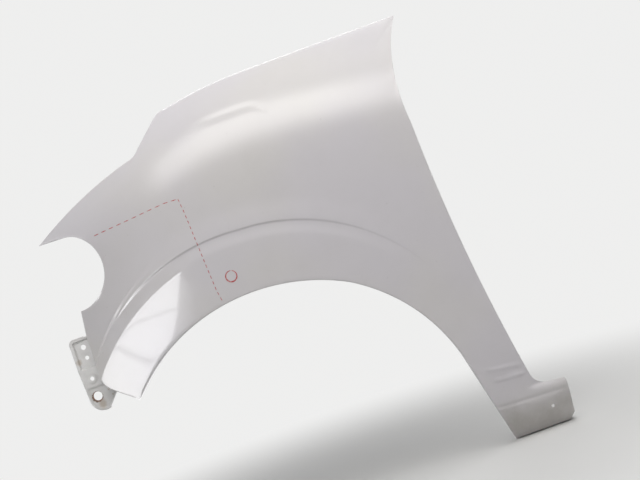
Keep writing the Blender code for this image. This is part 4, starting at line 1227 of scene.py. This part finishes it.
def panel_paint(finish):
    """Pearl-white paint under clear coat: clouds of a cooler and a warmer white, a dusty layer low
    down and inside, painted shade in the dust's colour along the sill's bottom edge, hairline scuffs, and
    the faint orange peel of sprayed lacquer."""
    material, graph, shader = new_material("panel_paint")
    tint = graph.between(graph.noise(3.1, 2.0), 0.35, 0.65)
    base = graph.mix(tint, colour(finish.paint), colour(finish.paint_warm))
    spot = graph.spot()
    inner = graph.between(graph.part(graph.add("NewGeometry").outputs["Normal"], 1), 0.05, 0.45)
    low = graph.between(graph.part(spot, 2), *LOW_DUST)
    cloud = graph.between(graph.noise(9.0, 6.0, 0.62), 0.42, 0.72)
    dust_and_shade = graph.times(cloud, graph.between(low, 0.0, 1.0, 0.05, 0.40))
    # Painted shade: the sill's bottom edge is darkened evenly towards the dust's colour
    dust_and_shade = graph.plus(dust_and_shade, graph.between(graph.part(spot, 2), *SILL_PAINTED_SHADE, 0.0, 0.36))
    base = graph.mix(dust_and_shade, base, colour(finish.dust))
    inside = graph.between(graph.noise(14.0, 5.0, 0.6), 0.35, 0.70, 0.30, 0.62)
    base = graph.mix(graph.times(inner, inside), base, colour(finish.inside))
    specks = graph.between(graph.noise(230.0, 2.0, 0.5), 0.76, 0.79)
    base = graph.mix(graph.times(specks, 0.35), base, colour(finish.speck))

    scuffs = graph.between(graph.noise(34.0, 4.0, 0.7, (1.0, 1.0, 7.0)), 0.60, 0.74)
    dull = graph.plus(graph.times(dust_and_shade, 0.30), graph.times(inner, 0.25))
    rough = graph.plus(graph.plus(graph.times(scuffs, 0.10), dull), finish.gloss_roughness)
    peel = graph.noise(260.0, 1.0, 0.4)
    bump = graph.add("Bump", {"Strength": 0.06, "Distance": 0.0004, "Height": peel}).outputs[0]
    coat = graph.between(inner, 0.0, 1.0, 1.0, 0.15)
    graph.fill(shader, {"Base Color": base, "Roughness": rough, "IOR": 1.45, "Normal": bump,
                        "Coat Weight": coat, "Coat Roughness": 0.045, "Coat IOR": 1.55,
                        "Coat Normal": bump})
    return material


def bracket_paint(finish, shift):
    """Thin white paint with grime in its lower parts, rust round the large hole, a tan run
    below it, and tan spots, two of them painted shadow just past the skin's lower front edge."""
    material, graph, shader = new_material("bracket_paint")
    line_x, top = fender_outline()["bumper"][1]
    across, drop, radius = BRACKET_HOLES[3]
    face = bracket_plane()
    centre = np.array([line_x - BRACKET_REACH + across, face, top - drop]) + shift
    grain = graph.noise(220.0, 6.0, 0.65)
    cloud = graph.between(graph.noise(55.0, 5.0, 0.6), 0.40, 0.68)
    base = graph.mix(graph.times(cloud, 0.14), colour(finish.bracket), colour(finish.dust))
    ragged = graph.times(graph.math("SUBTRACT", grain, 0.5), RAGGEDNESS)

    def spread(middle, outer, inner, stretch=(1.0, 0.05, 1.0)):
        """A ragged spot that is full within its inner radius and gone past the outer one."""
        return graph.between(graph.plus(graph.away_from(middle, stretch), ragged), outer, inner)

    rust = spread(centre + RUST_SHIFT, radius + RUST_RIM[0], radius + RUST_RIM[1])
    run = spread(centre + RUN_SHIFT, *RUN_REACH, (1.0, 0.05, 0.75))
    base = graph.mix(graph.times(run, 0.55), base, colour(finish.stain_and_shadow))
    # Painted shadow: the first two spots darken the bracket where it shows just past the skin's lower
    # front edge; the third is a stain
    for x, z, size in STAIN_AND_SHADOW_SPOTS:
        mark = spread(np.array([x, face, z]) + shift, size, size * 0.35)
        base = graph.mix(graph.times(mark, 0.45), base, colour(finish.stain_and_shadow))
    fresh = graph.mix(graph.between(grain, 0.40, 0.62), colour(finish.rust), colour(finish.rust_light))
    base = graph.mix(rust, base, fresh)
    rough = graph.plus(graph.plus(graph.times(rust, 0.40), graph.times(cloud, 0.15)), 0.38)
    height = graph.times(grain, graph.between(rust, 0.0, 1.0, 0.15, 1.0))
    bump = graph.add("Bump", {"Strength": 0.35, "Distance": 0.0006, "Height": height}).outputs[0]
    graph.fill(shader, {"Base Color": base, "Roughness": rough, "Normal": bump, "Coat Weight": 0.25,
                        "Coat Roughness": 0.25})
    return material


def pen_ink(finish):
    """Felt-pen ink that thins out here and there."""
    material, graph, shader = new_material("pen_ink")
    thin = graph.between(graph.noise(420.0, 3.0), 0.38, 0.66)
    ink = graph.mix(thin, colour(finish.pen), colour(finish.pen_thin))
    graph.fill(shader, {"Base Color": ink, "Roughness": 0.42})
    return material


# Pen marks

def picture_axes():
    """The photograph's right and up directions as (x, z), and how far up its centre is from the
    wheel's."""
    roll = math.radians(CAMERA_ROLL)
    rise = (WHEEL_PIXEL[1] - PHOTO_CENTRE[1]) * PIXEL_SIZE
    return point(math.cos(roll), -math.sin(roll)), point(math.sin(roll), math.cos(roll)), rise


def on_skin(pixels):
    """Where the photograph's pixels lie on the skin, as (x, z) in the layout: the depth there and
    the scale it gives are worked out in turn until they agree."""
    pixels = np.asarray(pixels, dtype=float)
    right, up, rise = picture_axes()
    depth = np.zeros(len(pixels))
    for _ in range(PEN_DEPTH_ROUNDS):
        scale = PIXEL_SIZE * (CAMERA_DISTANCE + depth) / CAMERA_DISTANCE
        across = (pixels[:, 0] - PHOTO_CENTRE[0]) * scale
        height = (PHOTO_CENTRE[1] - pixels[:, 1]) * scale + rise
        places = across[:, None] * right + height[:, None] * up
        depth = skin_depth(places[:, 0], places[:, 1])
    return places


def stroke(line, width):
    """A flat ribbon along a line of (x, z) points: a left and a right edge, narrower at its ends."""
    side = outward_of(line, True) * width / 2
    taper = np.sin(np.linspace(PEN_TAPER, math.pi - PEN_TAPER, len(line)))[:, None] ** 0.5
    return np.stack([line - side * taper, line + side * taper], axis=1)


def pen_strokes():
    """Every stroke as (x, z) ribbon edges: dashes at even distances along both lines, and a circle."""
    strokes = []
    for pixels, period in PEN_LINES:
        line = on_skin(pixels)
        length = steps(line).sum()
        dash = PEN_DASH_SHARE * period
        for start in np.arange(0.0, length - dash, period):
            places = np.linspace(start, start + dash, PEN_DASH_CELLS + 1)
            strokes.append(stroke(sample(line, places / length), PEN_WIDTH))
    circle = round_from(on_skin([PEN_CIRCLE])[0], PEN_CIRCLE_RADIUS, *PEN_CIRCLE_SWEEP,
                        PEN_CIRCLE_CELLS)
    strokes.append(stroke(circle, PEN_CIRCLE_WIDTH))
    return strokes


# Stage

def cleared(owner):
    """A graph in the owner's emptied node tree."""
    owner.use_nodes = True
    owner.node_tree.nodes.clear()
    return Graph(owner.node_tree)


def stage_floor(stage):
    """A pale floor that fades into the backdrop's colour with distance from the part, and that isn't
    seen from below."""
    low, high = CAD_BOX
    centre = ((low[0] + high[0]) / 2, (low[1] + high[1]) / 2)
    height = low[2] - FLOOR_GAP
    half = FLOOR_SIZE / 2
    corners = np.array([(-half, -half), (half, -half), (half, half), (-half, half)])
    points = np.column_stack([corners + centre, np.full(4, height)])
    floor = add_mesh("studio_floor", points, np.array([[0, 1, 2, 3]]))
    material = bpy.data.materials.new("studio_floor")
    graph = cleared(material)
    matt = graph.add("BsdfDiffuse", {"Color": colour(stage.floor)}).outputs[0]
    glow = graph.add("Emission", {"Color": colour(stage.backdrop), "Strength": 1.0}).outputs[0]
    far = graph.between(graph.away_from((*centre, height)), *FLOOR_FADE)
    upper = graph.blend(graph.times(far, graph.seen()), matt, glow)
    clear = graph.add("BsdfTransparent").outputs[0]
    from_below = graph.add("NewGeometry").outputs["Backfacing"]
    graph.surface("OutputMaterial", graph.blend(from_below, upper, clear))
    floor.data.materials.append(material)


def stage_world(stage):
    """The backdrop's colour for what is seen straight or mirrored, and a dimmer fill light."""
    world = bpy.data.worlds.new("studio")
    bpy.context.scene.world = world
    graph = cleared(world)
    backdrop = graph.add("Background", {"Color": colour(stage.backdrop), "Strength": 1.0}).outputs[0]
    ambient = graph.add("Background", {"Color": colour(stage.ambient_colour),
                                       "Strength": stage.ambient}).outputs[0]
    graph.surface("OutputWorld", graph.blend(graph.seen(), ambient, backdrop))


def softbox(name, place, aim, size, power, tone=WHITE, soft=0.0, mirrored=True, lights=True,
            shading=None):
    """A rectangular area lamp at a place, facing another place, kept out of the camera's sight. The
    soft share of its width and height fades out to its border, as a diffuser's does, and shading
    gives it a pattern. It can be left out of reflections, or be seen only in them."""
    lamp = bpy.data.lights.new(name, "AREA")
    lamp.shape = "RECTANGLE"
    lamp.size, lamp.size_y = size
    lamp.energy = power
    lamp.color = tone
    if soft > 0.0:
        graph = cleared(lamp)
        spot = graph.add("NewGeometry").outputs["Parametric"]
        shade = 1.0
        for axis in (0, 1):
            from_middle = graph.apart(graph.part(spot, axis), 0.5)
            shade = graph.times(graph.between(from_middle, 0.5, 0.5 - soft), shade)
        if shading is not None:
            shade = graph.times(shading(graph, spot), shade)
        graph.surface("OutputLight", graph.add("Emission", {"Strength": shade}).outputs[0])
    thing = add_object(name, lamp)
    thing.location = place
    thing.rotation_euler = Vector(aim - place).to_track_quat("-Z", "Y").to_euler()
    thing.visible_camera = False
    thing.visible_diffuse = lights
    thing.visible_glossy = mirrored
    return thing


def window_shading(graph, spot):
    """The window's light over its width and height: full above a slanted line, a soft glow that
    fades out below it, and a little dimmer along each bar's line."""
    def above(slope):
        """Height over a line of this slope, in shares of the window's size."""
        return graph.plus(graph.part(spot, 1), graph.times(graph.part(spot, 0), slope))

    slanted = above(WINDOW_SLANT)
    shade = graph.plus(graph.between(slanted, *WINDOW_FADE, 0.0, WINDOW_FADE_SHARE),
                       graph.between(slanted, *WINDOW_EDGE, 0.0, 1.0 - WINDOW_FADE_SHARE))
    for slope, level, half_width in WINDOW_BARS:
        off = graph.apart(above(slope), level)
        shade = graph.times(shade, graph.between(off, 0.0, half_width, WINDOW_BAR_SHARE, 1.0))
    return shade


def window_lamp(shift, power):
    """A window low beyond the nose, seen only as a reflection."""
    turn, tilt = math.radians(WINDOW_SWEEP), math.radians(WINDOW_TILT)
    toward = Vector((-math.sin(turn), -math.cos(turn), 0.0))
    level = Vector((-math.cos(turn), math.sin(turn), 0.0))
    plumb = Vector((0.0, 0.0, 1.0))
    across = level * math.cos(tilt) - plumb * math.sin(tilt)
    upward = plumb * math.cos(tilt) + level * math.sin(tilt)
    corner = Vector(shift) + Vector((*WINDOW_CORNER, WINDOW_HEIGHT))
    place = corner + toward * WINDOW_DISTANCE - level * WINDOW_SHIFT
    window = softbox("window", place, place - toward, WINDOW_SIZE, power, WINDOW_TONE, WINDOW_SOFTNESS,
                     lights=False, shading=window_shading)
    window.rotation_euler = Matrix((-across, upward, toward)).transposed().to_euler()


def stage_camera(shift):
    """The photograph's camera: level with a point above the wheel, rolled as the car is turned."""
    right, up, rise = picture_axes()
    place = np.array([up[0] * rise, -CAMERA_DISTANCE, up[1] * rise]) + shift
    camera = bpy.data.cameras.new("photo_camera")
    camera.sensor_fit = "HORIZONTAL"
    camera.sensor_width = SENSOR_WIDTH
    camera.lens = CAMERA_DISTANCE / PIXEL_SIZE / PHOTO_WIDTH * SENSOR_WIDTH
    thing = add_object("photo_camera", camera)
    turn = Matrix(((right[0], 0.0, right[1]), (up[0], 0.0, up[1]), (0.0, -1.0, 0.0)))
    thing.matrix_world = Matrix.Translation(Vector(place)) @ turn.transposed().to_4x4()
    bpy.context.scene.camera = thing


# Settings

def length_setting(name, description, default):
    """A setting in metres."""
    return FloatProperty(name=name, description=description, default=default, unit="LENGTH")


def share_setting(name, description, default):
    """A setting from 0 to 1."""
    return FloatProperty(name=name, description=description, default=default, min=0.0, max=1.0,
                         subtype="FACTOR")


def power_setting(name, description, default):
    """A lamp's power in watts."""
    return FloatProperty(name=name, description=description, default=default, unit="POWER")


def colour_setting(name, description, *default):
    """A setting that is a colour."""
    return FloatVectorProperty(name=name, description=description, default=default, subtype="COLOR")


class FenderShape(bpy.types.PropertyGroup):
    step_height: length_setting("Step height", "How far the flare's step stands out", 0.0045)
    crest_height: length_setting("Crest height", "The same over the arch's crest", 0.0025)
    crease_fall: length_setting("Crease fall", "How far it falls back inside its crease", 0.0018)
    flare_swell: length_setting("Flare swell", "How far the flare swells inside its step", 0.003)
    flare_lean: share_setting("Flare lean", "Slope inward to the arch at the front", 0.10)
    crease_depth: length_setting("Crease depth", "Depth of the short shoulder crease", 0.0024)
    sheet: length_setting("Sheet", "Thickness of the panel's sheet", SHEET)


class FenderFinish(bpy.types.PropertyGroup):
    paint: colour_setting("Paint", "Cool pearl white", 0.664, 0.638, 0.670)
    paint_warm: colour_setting("Warm paint", "Pearl white where it looks warmer", 0.678, 0.655, 0.645)
    inside: colour_setting("Inside", "Thin paint and dust on the hidden side", 0.36, 0.35, 0.33)
    # The dust's colour, also used for the painted shade along the sill's bottom edge
    dust: colour_setting("Dust", "Film of road dust", 0.38, 0.36, 0.325)
    speck: colour_setting("Specks", "Small dark specks of dirt", 0.20, 0.18, 0.15)
    bracket: colour_setting("Bracket", "Bracket's thin white paint", 0.66, 0.65, 0.64)
    rust: colour_setting("Rust", "Dark rust", 0.085, 0.035, 0.018)
    rust_light: colour_setting("Light rust", "Orange rust", 0.23, 0.105, 0.045)
    # The run-off's tan, also used for the painted shadow spots on the bracket
    stain_and_shadow: colour_setting("Stain", "Tan run-off from rust", 0.34, 0.24, 0.14)
    pen: colour_setting("Pen", "Red felt pen", 0.46, 0.045, 0.05)
    pen_thin: colour_setting("Thin pen", "Red felt pen where it skips", 0.60, 0.28, 0.28)
    gloss_roughness: share_setting("Roughness", "Roughness under the clear coat", 0.34)


class FenderStage(bpy.types.PropertyGroup):
    floor: colour_setting("Floor", "Colour of the floor", 0.74, 0.74, 0.73)
    backdrop: colour_setting("Backdrop", "Colour behind the part", 0.86, 0.86, 0.855)
    ambient_colour: colour_setting("Ambient colour", "Tint of the fill light", 0.96, 0.97, 1.0)
    ambient: share_setting("Ambient", "Strength of the fill light", 0.17)
    key: power_setting("Key", "Power of the softbox in front and above", 65.0)
    overhead: power_setting("Overhead", "Power of the softbox high above", 72.0)
    edge: power_setting("Edge", "Power of the strip mirrored by the hood's edge", 28.0)
    window: power_setting("Window", "Power of the mirrored window beyond the nose", 13.0)
    side: power_setting("Side", "Power of the strip beyond the nose", 7.0)
    rear: power_setting("Rear", "Power of the softbox behind the part", 10.0)


# Operators

class FENDER_OT_panel(bpy.types.Operator):
    """Build the pressed skin with its turned edges, holes and paint"""
    bl_idname = "fender.panel"
    bl_label = "Fender Panel"

    def execute(self, context):
        scene = context.scene
        sheet, holes = fender_sheet(scene.fender_shape)
        panel = pressed("pressed_skin", sheet, scene.fender_shape.sheet, holes, layout_shift(),
                        panel_paint(scene.fender_finish))
        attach(panel, "root")
        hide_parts("fender_panel")
        return {"FINISHED"}


class FENDER_OT_bracket(bpy.types.Operator):
    """Build the stamped bracket that is welded behind the front edge"""
    bl_idname = "fender.bracket"
    bl_label = "Front Bracket"

    def execute(self, context):
        sheet, holes = bracket_sheet()
        shift = layout_shift()
        bracket = pressed("bracket_plate", sheet, BRACKET_SHEET, holes, shift,
                          bracket_paint(context.scene.fender_finish, shift))
        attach(bracket, "root")
        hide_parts("front_bracket")
        return {"FINISHED"}


class FENDER_OT_pen(bpy.types.Operator):
    """Lay the red pen marks on the skin"""
    bl_idname = "fender.pen"
    bl_label = "Pen Marks"

    def execute(self, context):
        points, quads, count = [], [], 0
        for ribbon in pen_strokes():
            start = np.full(ribbon.shape[:2], PEN_START_DEPTH)
            flat = np.stack([ribbon[..., 0], start, ribbon[..., 1]], axis=-1)
            index = count + np.arange(flat[..., 0].size).reshape(flat.shape[:2])
            points.append(flat.reshape(-1, 3))
            quads.append(Sheet.cells(index, True))
            count += index.size
        marks = add_mesh("pen_marks", np.concatenate(points) + layout_shift(), np.concatenate(quads))
        wrap = marks.modifiers.new("Onto the skin", "SHRINKWRAP")
        wrap.target = bpy.data.objects["pressed_skin"]
        wrap.wrap_method = "PROJECT"
        wrap.use_project_y = True
        wrap.use_positive_direction = True
        wrap.use_negative_direction = False
        settle(marks)
        lift = marks.modifiers.new("Ink", "SOLIDIFY")
        lift.thickness = 2 * PEN_LIFT
        lift.offset = 0.0
        settle(marks)
        marks.data.materials.clear()
        marks.data.materials.append(pen_ink(context.scene.fender_finish))
        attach(marks, "root")
        return {"FINISHED"}


class FENDER_OT_stage(bpy.types.Operator):
    """Set up the floor, the backdrop, the lamps and the camera"""
    bl_idname = "fender.stage"
    bl_label = "Stage"

    def execute(self, context):
        stage = context.scene.fender_stage
        shift = layout_shift()
        context.scene.view_settings.view_transform = "Standard"
        stage_floor(stage)
        stage_world(stage)
        middle = Vector(shift) + Vector(STAGE_MIDDLE)
        for name, setting, place, size, style in LAMPS:
            softbox(name, middle + Vector(place), middle, size, getattr(stage, setting), **style)
        window_lamp(shift, stage.window)
        stage_camera(shift)
        return {"FINISHED"}


class FENDER_PT_sidebar(bpy.types.Panel):
    """Lists the settings and the steps"""
    bl_label = "Fender"
    bl_idname = "FENDER_PT_sidebar"
    bl_space_type = "VIEW_3D"
    bl_region_type = "UI"
    bl_category = "Fender"

    def draw(self, context):
        layout = self.layout
        for group in ("fender_shape", "fender_finish", "fender_stage"):
            settings = getattr(context.scene, group)
            for name in settings.__annotations__:
                layout.prop(settings, name)
        for operator in (FENDER_OT_panel, FENDER_OT_bracket, FENDER_OT_pen, FENDER_OT_stage):
            layout.operator(operator.bl_idname)


CLASSES = (FenderShape, FenderFinish, FenderStage, FENDER_OT_panel, FENDER_OT_bracket, FENDER_OT_pen,
           FENDER_OT_stage, FENDER_PT_sidebar)


def register():
    """Adds the classes and the scene's settings."""
    for item in CLASSES:
        bpy.utils.register_class(item)
    bpy.types.Scene.fender_shape = PointerProperty(type=FenderShape)
    bpy.types.Scene.fender_finish = PointerProperty(type=FenderFinish)
    bpy.types.Scene.fender_stage = PointerProperty(type=FenderStage)


def unregister():
    """Takes them away again."""
    del bpy.types.Scene.fender_stage
    del bpy.types.Scene.fender_finish
    del bpy.types.Scene.fender_shape
    for item in reversed(CLASSES):
        bpy.utils.unregister_class(item)


def main():
    """Builds the pieces and the stage in order."""
    register()
    bpy.ops.fender.panel()
    bpy.ops.fender.bracket()
    bpy.ops.fender.pen()
    bpy.ops.fender.stage()


if __name__ == "__main__":
    main()
